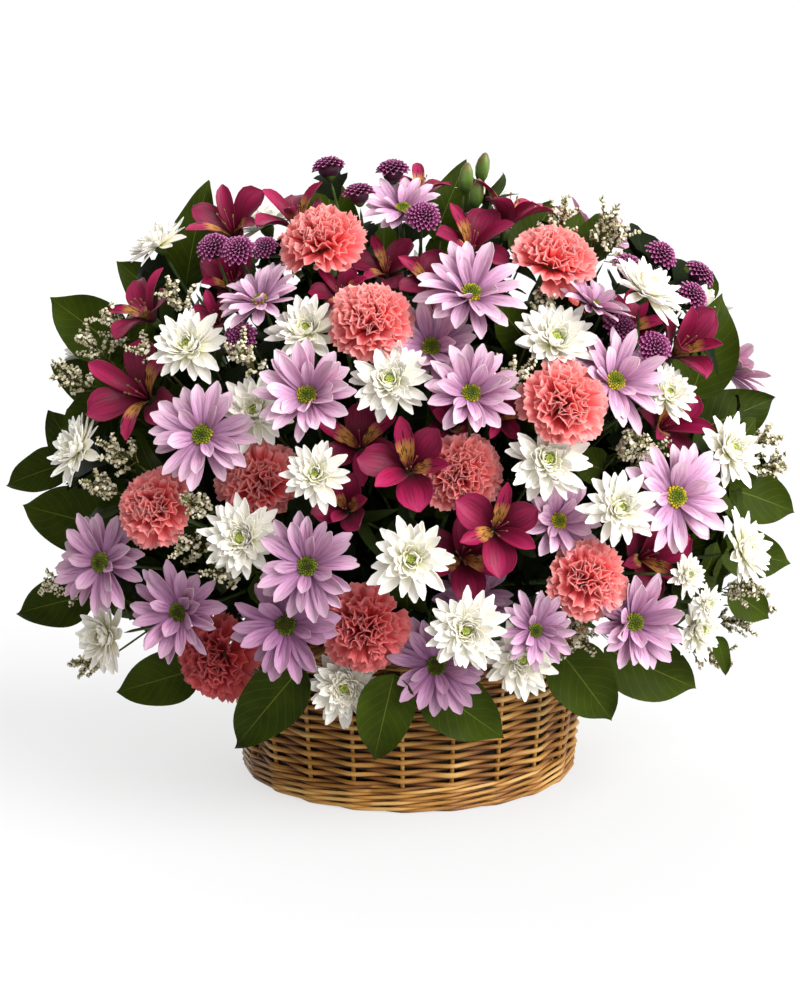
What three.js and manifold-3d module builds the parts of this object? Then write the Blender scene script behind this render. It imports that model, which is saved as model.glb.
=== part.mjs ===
// A round willow basket filled with a mound of cut flowers: lilac daisies, white cushion mums,
// coral carnations, purple button mums, burgundy alstroemeria, statice and salal leaves.
// Millimetres, +Z up. The origin is the centre of the basket's foot, and -Y is the front.
import * as THREE from "three";
import { mergeVertices } from "three/addons/utils/BufferGeometryUtils.js";
import Module from "manifold-3d";

const wasm = await Module();
wasm.setup();

// ---------------------------------------------------------------- driving dimensions

const GAP = 0.3; // left between pieces that touch

const basket = {
  footRadius: 131,
  rimRadius: 143, // outside of the wall, under the border
  height: 122, // floor to the middle of the border
  wallThickness: 7,
  baseThickness: 8,
  borderRadius: 6, // of the rolled rod round the top
  sides: 24, // one for each upright stake
};
const liner = { height: 100, wall: 2, clearOfWall: 3, taper: 6, sides: 20 };
const foam = { radius: 100, top: 152, chamfer: 14, clearOfLiner: 1, sides: 18 };

// The mound that the blooms make, as an egg with its widest part above the rim.
const mound = {
  halfWidth: 302,
  front: 205,
  back: 112,
  middle: new THREE.Vector3(0, 15, 205),
  above: 285,
  aboveBack: 235, // the crown falls away behind
  below: 168,
};
const heart = new THREE.Vector3(0, 10, 120); // where the stems would all meet, inside the foam

// The front picture that the blooms are set out on: pixels of an 800 x 1000 frame,
// seen from eye level a little under two metres away.
const picture = { centre: new THREE.Vector2(400, 500), focal: 2496 };
const viewer = { place: new THREE.Vector3(-7, -1900, 632), tilt: 12.5 };

const stemKinds = {
  mum: { main: 2.2, side: 1.4, colour: 0x5d7a3a },
  carnation: { main: 2.2, side: 1.6, colour: 0x7d9a6a },
  lily: { main: 2.4, side: 1.3, colour: 0x6c8a40 },
  salal: { main: 2.0, side: 1.2, colour: 0x5a4a2c },
  statice: { main: 1.5, side: 1.0, colour: 0x6f7a48 },
};
const foamHold = 32; // how deep a stem stands in the foam
const footShare = 0.8; // a foot is nearer the middle than where its stem enters the foam
const neckLength = 12; // straight stem behind a bloom
const neckLean = 0.016; // how much a side step of one millimetre turns it
const forkShare = 0.4; // how far up a spray divides
const forkLift = 12; // the lowest fork, over the foam
const stemReach = 75; // how far aside a stem may bend to pass its neighbours
const stemTries = 500;
const stemFacet = { length: 54, fewest: 2, most: 6 }; // a stem's straight stretches
const mainSides = 4;
const branchSides = 3;
const borderPass = { below: 36, out: 4, over: 10 }; // how a stem clears the basket's border

// Each kind of head is turned: [share of its radius, height over the place where petals join].
// Heights are for the nominal radius. The rim's points are drawn in between petals by "notch".
const heads = {
  lilac_daisy: {
    stem: "mum",
    colour: 0xc79ccb,
    radius: 38,
    sides: 10,
    notch: 0.84,
    rim: [1, 2],
    profile: [[0, -10], [1, 4], [0.97, 8], [0, 5]],
  },
  white_mum: {
    stem: "mum",
    colour: 0xf3f2ea,
    radius: 28,
    sides: 10,
    notch: 0.88,
    rim: [1],
    profile: [[0, -12], [1, 0], [0.8, 10], [0, 16]],
  },
  carnation: {
    stem: "carnation",
    colour: 0xee7d75,
    radius: 31,
    sides: 10,
    notch: 1,
    rim: [],
    profile: [[0, -34], [0.28, -10], [1, 8], [0.78, 23], [0, 29]],
  },
  button_mum: {
    stem: "mum",
    colour: 0x7f2c6e,
    radius: 13,
    sides: 8,
    notch: 1,
    rim: [],
    profile: [[0, -8], [1, 0], [0.75, 8], [0, 11]],
  },
  alstroemeria: {
    stem: "lily",
    colour: 0x9b1a4b,
    radius: 31,
    sides: 12,
    notch: 0.72,
    rim: [1, 2],
    profile: [[0, -32], [1, 8], [0.97, 11], [0, -10]],
  },
};
const stemInHead = 4; // how far a stem's end goes into its bloom
const bud = { radius: 5.5, length: 24, sides: 8, stemIn: 5, sunk: 6 };
const leafShape = { sides: 10, thickness: 4, fold: 0.09, droop: 0.1, taper: 0.26, colour: 0x2f4a22 };
const stalk = { share: 0.3, drop: 0.6 }; // where a leaf's stalk ends, along and under the blade
const tuft = { radius: 8, length: 27, sides: 6, stemIn: 6, sunk: 0.7, colour: 0xe6e0cc };

// Settling blooms in the mound: how far one may move towards the viewer, back and aside.
const nudging = { forward: 24, back: 45, step: 3, asides: [0, 3, 6, 9], ways: 8 };
const elbowRoom = { test: 1.02, kept: 1.015 }; // a settled piece is tested a little enlarged

// ---------------------------------------------------------------- where each bloom is seen

// across and down are the bloom's middle in the front picture. proud moves it off the mound
// towards the viewer, in millimetres, face turns it from pointing straight out of the heart (0)
// to looking at the viewer (1), and size scales it.
const seen = (across, down, { proud = 0, face = 0.5, size = 1 } = {}) =>
  ({ across, down, proud, face, size });

// Blooms of the far side are given round the mound: turn from the front and rise, in degrees.
const round = (turn, rise, { proud = 0, face = 0, size = 1 } = {}) =>
  ({ turn, rise, proud, face, size });

const bloomPlan = {
  carnation_1: ["carnation", seen(323, 240, { face: 0.2 })],
  carnation_2: ["carnation", seen(370, 320, { face: 0.5, proud: 4 })],
  carnation_3: ["carnation", seen(555, 258, { face: 0.15 })],
  carnation_4: ["carnation", seen(564, 403, { face: 0.9, proud: 12 })],
  carnation_5: ["carnation", seen(154, 508, { face: 0.6, size: 0.92 })],
  carnation_6: ["carnation", seen(259, 482, { face: 0.8, proud: -8 })],
  carnation_7: ["carnation", seen(217, 658, { face: 0.8, proud: -6 })],
  carnation_8: ["carnation", seen(364, 628, { face: 0.9, proud: -6 })],
  carnation_9: ["carnation", seen(462, 473, { face: 0.9, proud: 4, size: 0.95 })],
  carnation_10: ["carnation", seen(587, 579, { face: 0.8, proud: 4, size: 0.95 })],
  carnation_11: ["carnation", round(148, 34)],
  carnation_12: ["carnation", round(208, 54)],

  lilac_daisy_spray_1: ["lilac_daisy",
    seen(205, 437, { proud: 12, face: 0.9 }), seen(262, 305, { face: 0, size: 0.8 }),
    seen(308, 398, { proud: 10, face: 1 })],
  lilac_daisy_spray_2: ["lilac_daisy",
    seen(403, 213, { face: 0.3, size: 0.75, proud: -8 }), seen(470, 298, { face: 0.35, proud: 8 }),
    seen(431, 350, { face: 0.9, size: 0.95, proud: 4 }),
    seen(470, 396, { face: 0.8, size: 0.95, proud: -4 })],
  lilac_daisy_spray_3: ["lilac_daisy",
    seen(591, 309, { face: -0.2, size: 0.75 }), seen(612, 384, { face: 0.7, proud: 4 })],
  lilac_daisy_spray_4: ["lilac_daisy",
    seen(106, 563, { face: 0.6 }), seen(182, 612, { face: 0.8, proud: 6, size: 0.95 })],
  lilac_daisy_spray_5: ["lilac_daisy",
    seen(309, 567, { face: 0.9, size: 0.95 }), seen(288, 624, { face: 1, proud: 14 })],
  lilac_daisy_spray_6: ["lilac_daisy",
    seen(470, 597, { face: 0.9, proud: -18, size: 0.85 }),
    seen(436, 664, { face: 0.7, size: 0.95 }),
    seen(534, 630, { face: 0.9, size: 0.72, proud: 16 })],
  lilac_daisy_spray_7: ["lilac_daisy",
    seen(672, 498, { face: 0.9, proud: 8, size: 1.06 }), seen(630, 622, { face: 0.6, proud: 8 }),
    seen(556, 522, { face: 0.5, size: 0.85, proud: -6 })],
  lilac_daisy_spray_8: ["lilac_daisy",
    round(170, 66), round(118, 58), round(116, 24)],
  lilac_daisy_spray_9: ["lilac_daisy",
    round(192, 30), round(236, 46), round(228, 14)],

  white_mum_spray_1: ["white_mum",
    seen(159, 246, { face: 0, size: 0.85 }), seen(190, 348, { face: 0.7, proud: 4 }),
    seen(79, 451, { face: 0.1, size: 0.95 })],
  white_mum_spray_2: ["white_mum",
    seen(307, 333, { face: 0.4 }), seen(390, 382, { face: 0.95, proud: 10 }),
    seen(256, 413, { face: 0.8, proud: -10 })],
  white_mum_spray_3: ["white_mum",
    seen(645, 293, { face: 0, size: 1.05 }), seen(554, 346, { face: 0.5, size: 1.05 }),
    seen(671, 389, { face: 0.5, size: 0.85 })],
  white_mum_spray_4: ["white_mum",
    seen(316, 475, { face: 1, size: 0.85, proud: 6 }), seen(243, 539, { face: 0.9 }),
    seen(108, 635, { face: 0.3, size: 1.05, proud: 14 })],
  white_mum_spray_5: ["white_mum",
    seen(346, 686, { face: 0.9, proud: 6 }), seen(411, 559, { face: 1, proud: 14, size: 1.05 }),
    seen(465, 630, { face: 0.9, proud: 18 }), seen(519, 658, { face: 0.3, proud: -2 })],
  white_mum_spray_6: ["white_mum",
    seen(547, 461, { face: 0.8, size: 1.05 }), seen(618, 508, { face: 1, proud: 16, size: 0.95 })],
  white_mum_spray_7: ["white_mum",
    seen(728, 451, { face: 0.5, size: 0.95 }), seen(741, 551, { face: 0.1 }),
    seen(686, 575, { face: 0.5, size: 0.55 }), seen(696, 629, { face: 0.4, size: 0.85 }),
    seen(706, 604, { face: 0.5, size: 0.5, proud: 10 })],
  white_mum_spray_8: ["white_mum",
    round(136, 8), round(168, 18), round(100, 40), round(140, 76)],
  white_mum_spray_9: ["white_mum",
    round(176, 46), round(252, 30), round(244, 66), round(206, 6)],

  button_mum_spray_1: ["button_mum",
    seen(329, 171, { face: -0.3 }), seen(359, 197, { face: -0.3, size: 0.95 }),
    seen(393, 174, { face: -0.1 }), seen(423, 219, { face: 0.7 })],
  button_mum_spray_2: ["button_mum",
    seen(214, 250, { face: 0.3 }), seen(239, 253, { face: 0.5, proud: 8 }),
    seen(265, 250, { face: 0.3, size: 0.8 }), seen(241, 340, { face: 0.8 })],
  button_mum_spray_3: ["button_mum",
    seen(659, 257, { face: 0.3 }), seen(627, 270, { face: 0.2 }), seen(697, 277, { face: 0 }),
    seen(690, 298, { face: 0.3 }), seen(619, 331, { face: 0.5 }),
    seen(653, 349, { face: 0.8, proud: 10 })],

  alstroemeria_1: ["alstroemeria",
    seen(226, 219, { face: 0.6 }), seen(228, 277, { face: 0.7, size: 0.85 }),
    seen(292, 208, { face: 0.1, size: 0.9, proud: -16 })],
  alstroemeria_2: ["alstroemeria",
    seen(138, 303, { face: 0.2, size: 0.9 }), seen(213, 310, { face: 0.5, size: 0.6, proud: -14 }),
    seen(133, 387, { face: 0.7, size: 1.2 })],
  alstroemeria_3: ["alstroemeria",
    seen(333, 294, { face: 0.4, size: 0.65, proud: -14 }),
    seen(386, 262, { face: 0.5, size: 0.8, proud: -12 }),
    seen(431, 276, { face: 0.7, size: 0.8, proud: -4 })],
  alstroemeria_4: ["alstroemeria",
    seen(513, 200, { face: -0.2, size: 0.95 }), seen(474, 234, { face: 0.4, size: 0.95 }),
    seen(420, 180, { face: 0, size: 0.75, proud: -18 })],
  alstroemeria_5: ["alstroemeria",
    seen(358, 441, { face: 0.8, proud: -6, size: 0.95 }),
    seen(409, 464, { face: 0.9, proud: 8, size: 1.05 }),
    seen(453, 420, { face: 0.8, size: 0.85, proud: -14 }),
    seen(502, 414, { face: 0.7, size: 0.6, proud: -20 }),
    seen(344, 506, { face: 0.6, size: 0.8 })],
  alstroemeria_6: ["alstroemeria",
    seen(499, 527, { face: 0.9, proud: 8 }), seen(464, 555, { face: 0.9, proud: 6 }),
    seen(652, 556, { face: 0.8, proud: -4 })],
  alstroemeria_7: ["alstroemeria",
    seen(632, 322, { face: 0.5, size: 0.85, proud: -12 }),
    seen(688, 341, { face: 0.6, size: 1.05, proud: 4 }),
    seen(672, 420, { face: 0.6 })],
};

// Buds that ride on an alstroemeria stem, by the bud's middle in the picture.
const budPlan = { alstroemeria_4: [[483, 168], [477, 194], [466, 178]] };

// Each leaf: where its base and its tip are seen, its width in millimetres, and how far behind
// the basket's middle each end is (a negative depth is in front of it).
const leaf = (base, tip, width, baseDepth, tipDepth) => ({ base, tip, width, baseDepth, tipDepth });

const leafPlan = {
  salal_1: [
    leaf([186, 286], [204, 186], 44, 20, 26), leaf([182, 318], [120, 263], 44, 16, 26),
    leaf([124, 352], [52, 299], 54, 6, 22), leaf([118, 398], [54, 366], 40, 0, 12)],
  salal_2: [
    leaf([96, 478], [49, 414], 46, 6, 24), leaf([72, 462], [6, 483], 38, 26, 40),
    leaf([112, 528], [25, 506], 58, -4, 6), leaf([94, 594], [19, 612], 46, 6, 12)],
  salal_3: [
    leaf([200, 668], [118, 692], 46, -90, -84),
    leaf([304, 664], [235, 746], 50, -162, -146)],
  salal_4: [
    leaf([394, 674], [374, 760], 46, -166, -160), leaf([424, 680], [502, 738], 52, -166, -158),
    leaf([556, 646], [613, 720], 54, -128, -116), leaf([604, 648], [696, 688], 58, -98, -84)],
  salal_5: [
    leaf([716, 636], [728, 675], 16, -20, -14), leaf([728, 590], [770, 617], 34, -6, 2),
    leaf([718, 548], [790, 562], 44, -10, 0), leaf([716, 484], [795, 510], 52, -6, 8)],
  salal_6: [
    leaf([694, 432], [772, 399], 50, 10, 22), leaf([690, 398], [724, 300], 56, 10, 20),
    leaf([684, 318], [700, 262], 44, 22, 30)],
  salal_7: [
    leaf([434, 240], [464, 163], 34, 4, 14), leaf([330, 262], [329, 175], 54, 14, 22),
    leaf([384, 280], [384, 222], 40, 14, 22), leaf([520, 262], [552, 203], 40, 8, 20),
    leaf([566, 270], [580, 214], 38, 10, 20)],
};

// Leaves of the far side: where base and tip lie round the mound, as [turn, rise], and the width.
const farLeafProud = { base: -22, tip: -2 }; // the blades lean out of the mound
const farLeafPlan = {
  salal_8: [
    [[150, -2], [142, -28], 58], [[176, -4], [173, -30], 58], [[126, -2], [118, -22], 52],
    [[108, 12], [98, -2], 50], [[158, 26], [150, 44], 50], [[132, 22], [124, 38], 50],
    [[132, 48], [122, 62], 48], [[104, 52], [92, 66], 46]],
  salal_9: [
    [[204, -4], [211, -30], 58], [[230, -2], [238, -24], 54], [[250, 10], [261, -2], 50],
    [[216, 24], [224, 40], 50], [[188, 50], [184, 68], 52], [[258, 44], [270, 52], 44],
    [[192, 8], [186, 22], 48], [[222, 66], [226, 80], 46]],
};

// Statice: where each tuft's tip is seen, and how far behind the mound's surface it stands.
const staticePlan = {
  statice_1: [8, [174, 296], [150, 352], [112, 322], [90, 344], [74, 378]],
  statice_2: [4, [118, 452], [101, 486], [58, 584], [88, 664]],
  statice_3: [4, [198, 505], [188, 545], [228, 572], [246, 356]],
  statice_4: [0, [484, 384], [516, 377], [543, 306], [561, 219], [604, 226], [616, 240]],
  statice_5: [4, [630, 444], [646, 458], [764, 440], [770, 466]],
  statice_6: [4, [744, 588], [757, 606], [738, 622], [712, 656], [576, 638]],
};

// ---------------------------------------------------------------- small geometry helpers

const UP = new THREE.Vector3(0, 0, 1);
const TOWARDS_VIEWER = new THREE.Vector3(0, -1, 0.2).normalize();
const facingPull = 1.25; // how strongly "face" turns a bloom to the viewer
const radians = THREE.MathUtils.degToRad;

// A geometry's closed surface as a solid that can be joined and cut.
function solidOf(geometry) {
  const bare = geometry.clone();
  bare.deleteAttribute("normal");
  bare.deleteAttribute("uv");
  const merged = mergeVertices(bare, 1e-4);
  const corners = Array.from(merged.index.array);
  const triVerts = [];
  for (let i = 0; i < corners.length; i += 3) {
    const [a, b, c] = corners.slice(i, i + 3);
    if (a !== b && b !== c && c !== a) triVerts.push(a, b, c);
  }
  return new wasm.Manifold(new wasm.Mesh({
    numProp: 3,
    vertProperties: merged.attributes.position.array,
    triVerts: new Uint32Array(triVerts),
  }));
}

// A solid's surface as a geometry for a mesh.
function geometryOf(solid) {
  const { vertProperties, triVerts, numProp, numVert } = solid.getMesh();
  const places = new Float32Array(numVert * 3);
  for (let i = 0; i < numVert; i++) {
    places.set(vertProperties.subarray(i * numProp, i * numProp + 3), i * 3);
  }
  const geometry = new THREE.BufferGeometry();
  geometry.setAttribute("position", new THREE.BufferAttribute(places, 3));
  geometry.setIndex(new THREE.BufferAttribute(new Uint32Array(triVerts), 1));
  geometry.computeVertexNormals();
  return geometry;
}

// A geometry with its box, ready to be tested against others.
function placed(geometry) {
  geometry.computeBoundingBox();
  return { solid: solidOf(geometry), box: geometry.boundingBox };
}

const touches = (a, b) => a.box.intersectsBox(b.box) && !a.solid.intersect(b.solid).isEmpty();
const isClear = (piece, others) => !others.some((other) => touches(piece, other));

// The direction of the line of sight through a point of the front picture.
function sightLine(across, down) {
  return new THREE.Vector3(across - picture.centre.x, picture.focal, picture.centre.y - down)
    .applyAxisAngle(new THREE.Vector3(1, 0, 0), radians(-viewer.tilt))
    .normalize();
}

// The point on a line of sight at a given depth behind the basket's middle.
function atDepth([across, down], depth) {
  const line = sightLine(across, down);
  return viewer.place.clone().addScaledVector(line, (depth - viewer.place.y) / line.y);
}

// How far forward the mound reaches, at a place across and up.
function moundDepth(x, z) {
  const tall = z > mound.middle.z ? mound.above : mound.below;
  const share = Math.hypot(x / mound.halfWidth, (z - mound.middle.z) / tall);
  return mound.middle.y - mound.front * Math.sqrt(Math.max(0, 1 - share * share));
}

// Where a line of sight meets the front of the mound, or passes nearest to its edge.
function onMound(across, down, proud = 0) {
  let point = atDepth([across, down], 0);
  for (let pass = 0; pass < 8; pass++) {
    point = atDepth([across, down], moundDepth(point.x, point.z) - proud);
  }
  return point;
}

// A point round the far side of the mound, by its turn from the front and its rise, in degrees.
function roundMound(turn, rise, proud = 0) {
  const t = radians(turn);
  const r = radians(rise);
  const tall = rise > 0 ? mound.aboveBack : mound.below;
  return new THREE.Vector3(
    (mound.halfWidth + proud) * Math.sin(t) * Math.cos(r),
    -(mound.back + proud) * Math.cos(t) * Math.cos(r),
    (tall + proud) * Math.sin(r),
  ).add(mound.middle);
}

// ---------------------------------------------------------------- heads, leaves and tufts

// A turned shape about +Z. Every second rib of the rim is drawn in by the notch.
function turned({ profile, radius, sides, notch, rim }, size) {
  const points = profile.map(([share, height]) => new THREE.Vector2(share * radius, height));
  const geometry = new THREE.LatheGeometry(points, sides);
  const places = geometry.attributes.position;
  for (let i = 0; i < places.count; i++) {
    const rib = Math.floor(i / points.length);
    if (rib % 2 === 1 && rim.includes(i % points.length)) {
      places.setXYZ(i, places.getX(i) * notch, places.getY(i), places.getZ(i) * notch);
    }
  }
  return geometry.rotateX(Math.PI / 2).scale(size, size, size);
}

// A shape about +Z, moved so that it looks along a direction from a point.
function aimed(geometry, point, direction) {
  const turn = new THREE.Quaternion().setFromUnitVectors(UP, direction);
  return geometry.applyQuaternion(turn).translate(point.x, point.y, point.z);
}

// A sphere drawn out to a spindle that grows from the origin along +Z.
function spindle(radius, length, sides) {
  return new THREE.SphereGeometry(1, sides, 2)
    .rotateX(Math.PI / 2)
    .scale(radius, radius, length / 2)
    .translate(0, 0, length / 2);
}

// A leaf blade from base to tip: a flattened sphere whose equator is the leaf's outline.
// Its sides fold up along the midrib and its tip droops.
function blade(base, tip, width, faceTo) {
  const along = tip.clone().sub(base);
  const length = along.length();
  along.normalize();
  const normal = faceTo.clone().addScaledVector(along, -faceTo.dot(along)).normalize();
  const side = normal.clone().cross(along);
  const geometry = new THREE.SphereGeometry(1, leafShape.sides, 2).rotateX(Math.PI / 2);
  const places = geometry.attributes.position;
  for (let i = 0; i < places.count; i++) {
    const [x, y, z] = [places.getX(i), places.getY(i), places.getZ(i)];
    const fuller = 1 - leafShape.taper * x; // the leaf is broadest nearer its base
    places.setXYZ(i,
      (x * length) / 2,
      (y * width * fuller) / 2,
      (z * leafShape.thickness) / 2 + leafShape.fold * width * Math.abs(y)
        - leafShape.droop * length * Math.max(0, x) ** 2);
  }
  const frame = new THREE.Matrix4().makeBasis(along, side, normal)
    .setPosition(base.clone().lerp(tip, 0.5));
  return geometry.applyMatrix4(frame);
}

// ---------------------------------------------------------------- stems

const smooth = (points) => new THREE.CatmullRomCurve3(points, false, "centripetal");

// How many straight facets a rod along the points has.
function facetsAlong(points) {
  const count = Math.round(smooth(points).getLength() / stemFacet.length);
  return THREE.MathUtils.clamp(count, stemFacet.fewest, stemFacet.most);
}

// A rod along a smooth curve through the points.
function rod(points, radius, sides) {
  const section = new THREE.Shape(Array.from({ length: sides }, (_, i) => {
    const angle = (2 * Math.PI * i) / sides;
    return new THREE.Vector2(radius * Math.cos(angle), radius * Math.sin(angle));
  }));
  return new THREE.ExtrudeGeometry(section, {
    steps: facetsAlong(points),
    extrudePath: smooth(points),
    bevelEnabled: false,
  });
}

// The same rod, a little thicker and with its foot a little longer: the room that it takes.
function roomFor(points, radius, sides) {
  const room = rod(points, radius + GAP, sides);
  const deeper = smooth(points).getTangent(0).multiplyScalar(-2 * GAP);
  const places = room.attributes.position;
  for (let i = 0; i < places.count; i++) {
    const corner = new THREE.Vector3().fromBufferAttribute(places, i);
    if (corner.distanceTo(points[0]) > radius + 2 * GAP) continue;
    corner.add(deeper);
    places.setXYZ(i, corner.x, corner.y, corner.z);
  }
  return room;
}

// Side steps on a sunflower spiral that also goes up and down, each further out than the
// last, that a stem tries until it is clear.
function* sideSteps() {
  const golden = Math.PI * (3 - Math.sqrt(5));
  for (let i = 0; i < stemTries; i++) {
    const far = stemReach * Math.sqrt(i / stemTries);
    const rise = 0.6 * far * Math.sin(2.3 * i);
    yield new THREE.Vector3(far * Math.cos(i * golden), far * Math.sin(i * golden), rise);
  }
}

// Where a stem bound for a point goes into the top of the foam, and its foot inside it.
function foamPlaces(goal) {
  const way = goal.clone().sub(heart);
  const level = Math.hypot(way.x, way.y);
  const lean = Math.atan2(level, Math.max(10, way.z)) / (Math.PI / 2);
  const out = (foam.radius - foam.chamfer - 4) * lean;
  const entry = new THREE.Vector3((way.x / level) * out, (way.y / level) * out, foam.top + 2);
  const foot = entry.clone().multiplyScalar(footShare).setZ(foam.top - foamHold);
  return { entry, foot };
}

// The point above the border that a stem passes over where its bloom hangs outside the basket.
function overBorder(to, step) {
  const level = Math.hypot(to.x, to.y);
  if (to.z > basket.height + borderPass.below || level < basket.rimRadius - 10) return [];
  const aside = to.clone().addScaledVector(step, 0.5);
  const out = basket.rimRadius + basket.borderRadius + borderPass.out;
  const lowest = basket.height + basket.borderRadius + borderPass.over;
  const up = Math.max(lowest, to.z + 6) + 0.4 * step.length();
  return [aside.setZ(0).setLength(out).setZ(up)];
}

// The first of several tries that is clear of everything placed, or else the one that
// touches the fewest.
function firstClear(tries, others) {
  let best = null;
  for (const attempt of tries) {
    const hits = others.filter((other) => touches(attempt.test, other)).length;
    if (!best || hits < best.hits) best = { ...attempt, hits };
    if (hits === 0) break;
  }
  return best;
}

// A point a neck's length behind an end. A side step lets the neck lean.
const neckOf = (end, step) => end.tip.clone().addScaledVector(
  end.axis.clone().addScaledVector(step, neckLean).normalize(), -neckLength);

// Grows one cut stem from the foam to its ends: a trunk, and a branch to each end where there
// are several. Returns the rods and the room that each one takes.
function growStem(kind, ends) {
  const { main, side } = stemKinds[kind];
  const middle = new THREE.Vector3();
  for (const end of ends) middle.addScaledVector(neckOf(end, new THREE.Vector3()), 1 / ends.length);
  const single = ends.length === 1;

  function* trunks() {
    for (const step of sideSteps()) {
      const { entry, foot } = foamPlaces(middle.clone().addScaledVector(step, 2));
      const fork = entry.clone().lerp(middle, single ? 0.5 : forkShare).addScaledVector(step, 0.6);
      fork.z = Math.max(fork.z, foam.top + forkLift);
      if (!single) {
        const path = [foot, entry, fork];
        yield { path, test: placed(roomFor(path, main, mainSides)) };
        continue;
      }
      const neck = neckOf(ends[0], step);
      const over = overBorder(neck, step);
      const path = [foot, entry, ...(over.length ? over : [fork]), neck, ends[0].tip];
      yield { path, test: placed(roomFor(path, main, mainSides)) };
    }
  }
  const own = single ? ends[0].owner : null;
  const trunk = firstClear(trunks(), obstacles.filter((o) => o.owner !== own));
  const rods = [rod(trunk.path, main, mainSides)];
  const rooms = [roomFor(trunk.path, main, mainSides)];

  if (!single) {
    const facets = smooth(trunk.path).getSpacedPoints(facetsAlong(trunk.path));
    const [below, fork] = facets.slice(-2);
    ends.forEach((end, i) => {
      const start = fork.clone().lerp(below, 0.05 + (0.8 * i) / ends.length);
      function* branches() {
        for (const step of sideSteps()) {
          const neck = neckOf(end, step);
          const over = overBorder(neck, step);
          const bend = start.clone().lerp(neck, 0.5).add(step);
          const path = [start, ...(over.length ? over : [bend]), neck, end.tip];
          yield { path, test: placed(roomFor(path, side, branchSides)) };
        }
      }
      const branch = firstClear(branches(), obstacles.filter((o) => o.owner !== end.owner));
      rods.push(rod(branch.path, side, branchSides));
      rooms.push(roomFor(branch.path, side, branchSides));
    });
  }
  return { rods, rooms };
}

// ---------------------------------------------------------------- settling the blooms

const obstacles = []; // everything placed so far, for the tests
const stems = []; // each stem's name, its kind, its blooms or leaves, and its ends at them

function addStem(name, kind, stemKind) {
  const stem = { name, kind, stemKind, ends: [], parts: [] };
  stems.push(stem);
  return stem;
}

// Small moves off a line of sight and along it, the cheapest first: a bloom may go in or out
// by a good deal before it goes aside.
const nudges = [];
for (let along = -nudging.forward; along <= nudging.back; along += nudging.step) {
  for (const aside of nudging.asides) {
    for (let i = 0; i < (aside ? nudging.ways : 1); i++) {
      const angle = (2 * Math.PI * i) / nudging.ways;
      const cost = (along < 0 ? -1.4 * along : along) + 3.5 * aside;
      nudges.push({ along, across: aside * Math.cos(angle), up: aside * Math.sin(angle), cost });
    }
  }
}
nudges.sort((a, b) => a.cost - b.cost);

// Settles a piece at the nearest free place to its start, seen along a line.
function settle(start, line, make, owner) {
  const across = new THREE.Vector3(-line.y, line.x, 0).normalize().negate();
  const up = across.clone().cross(line);
  const blocked = [...obstacles, block];
  const places = nudges.map((nudge) => start.clone().addScaledVector(line, nudge.along)
    .addScaledVector(across, nudge.across).addScaledVector(up, nudge.up));
  const isFree = (point) => isClear(placed(make(point, elbowRoom.test)), blocked);
  const point = places.find(isFree) ?? start;
  obstacles.push({ ...placed(make(point, elbowRoom.kept)), owner });
  return point;
}

function settleBlooms() {
  const all = [];
  for (const [name, [kind, ...blooms]] of Object.entries(bloomPlan)) {
    const stem = addStem(name, kind, heads[kind].stem);
    blooms.forEach((bloom, i) => all.push({ bloom, kind, stem, owner: name + "/" + i }));
  }
  all.sort((a, b) => b.bloom.proud - a.bloom.proud);
  for (const { bloom, kind, stem, owner } of all) {
    const far = bloom.turn !== undefined;
    const start = far
      ? roundMound(bloom.turn, bloom.rise, bloom.proud)
      : onMound(bloom.across, bloom.down, bloom.proud);
    const outward = start.clone().sub(heart).normalize();
    const pull = far ? 0 : facingPull * bloom.face;
    const axis = outward.clone().addScaledVector(TOWARDS_VIEWER, pull).normalize();
    const line = far ? outward.clone().negate() : sightLine(bloom.across, bloom.down);
    const head = heads[kind];
    const make = (point, grown = 1) => aimed(turned(head, bloom.size * grown), point, axis);
    const point = settle(start, line, make, owner);
    const hub = (head.profile[0][1] + stemInHead) * bloom.size;
    stem.parts.push(make(point));
    stem.ends.push({ tip: point.clone().addScaledVector(axis, hub), axis, owner });
  }
}

// Adds a bud or a tuft to a stem: a spindle that points out of the heart.
function addSpindle(stem, { radius, length, sides, stemIn }, [across, down], proud, sunk, owner) {
  const start = onMound(across, down, proud);
  const axis = start.clone().sub(heart).normalize();
  const make = (point, grown = 1) => aimed(spindle(radius * grown, length * grown, sides), point, axis);
  const point = settle(start.addScaledVector(axis, -sunk), sightLine(across, down), make, owner);
  stem.parts.push(make(point));
  stem.ends.push({ tip: point.clone().addScaledVector(axis, stemIn), axis, owner });
}

function settleBuds() {
  for (const [name, places] of Object.entries(budPlan)) {
    const stem = stems.find((s) => s.name === name);
    places.forEach((place, i) =>
      addSpindle(stem, bud, place, -bud.sunk, bud.length / 2, name + "/bud" + i));
  }
}

// Adds one leaf to a stem. Its stalk ends inside the blade.
function addLeaf(stem, base, tip, width, faceTo, line, owner) {
  const reach = tip.clone().sub(base);
  const make = (point, grown = 1) =>
    blade(point, point.clone().add(reach), width * grown, faceTo);
  const at = settle(base, line, make, owner);
  const along = reach.clone().normalize();
  const normal = faceTo.clone().addScaledVector(along, -faceTo.dot(along)).normalize();
  const tipOfStalk = at.clone().addScaledVector(reach, stalk.share)
    .addScaledVector(normal, -stalk.drop);
  stem.parts.push(make(at));
  stem.ends.push({ tip: tipOfStalk, axis: along, owner });
}

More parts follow.
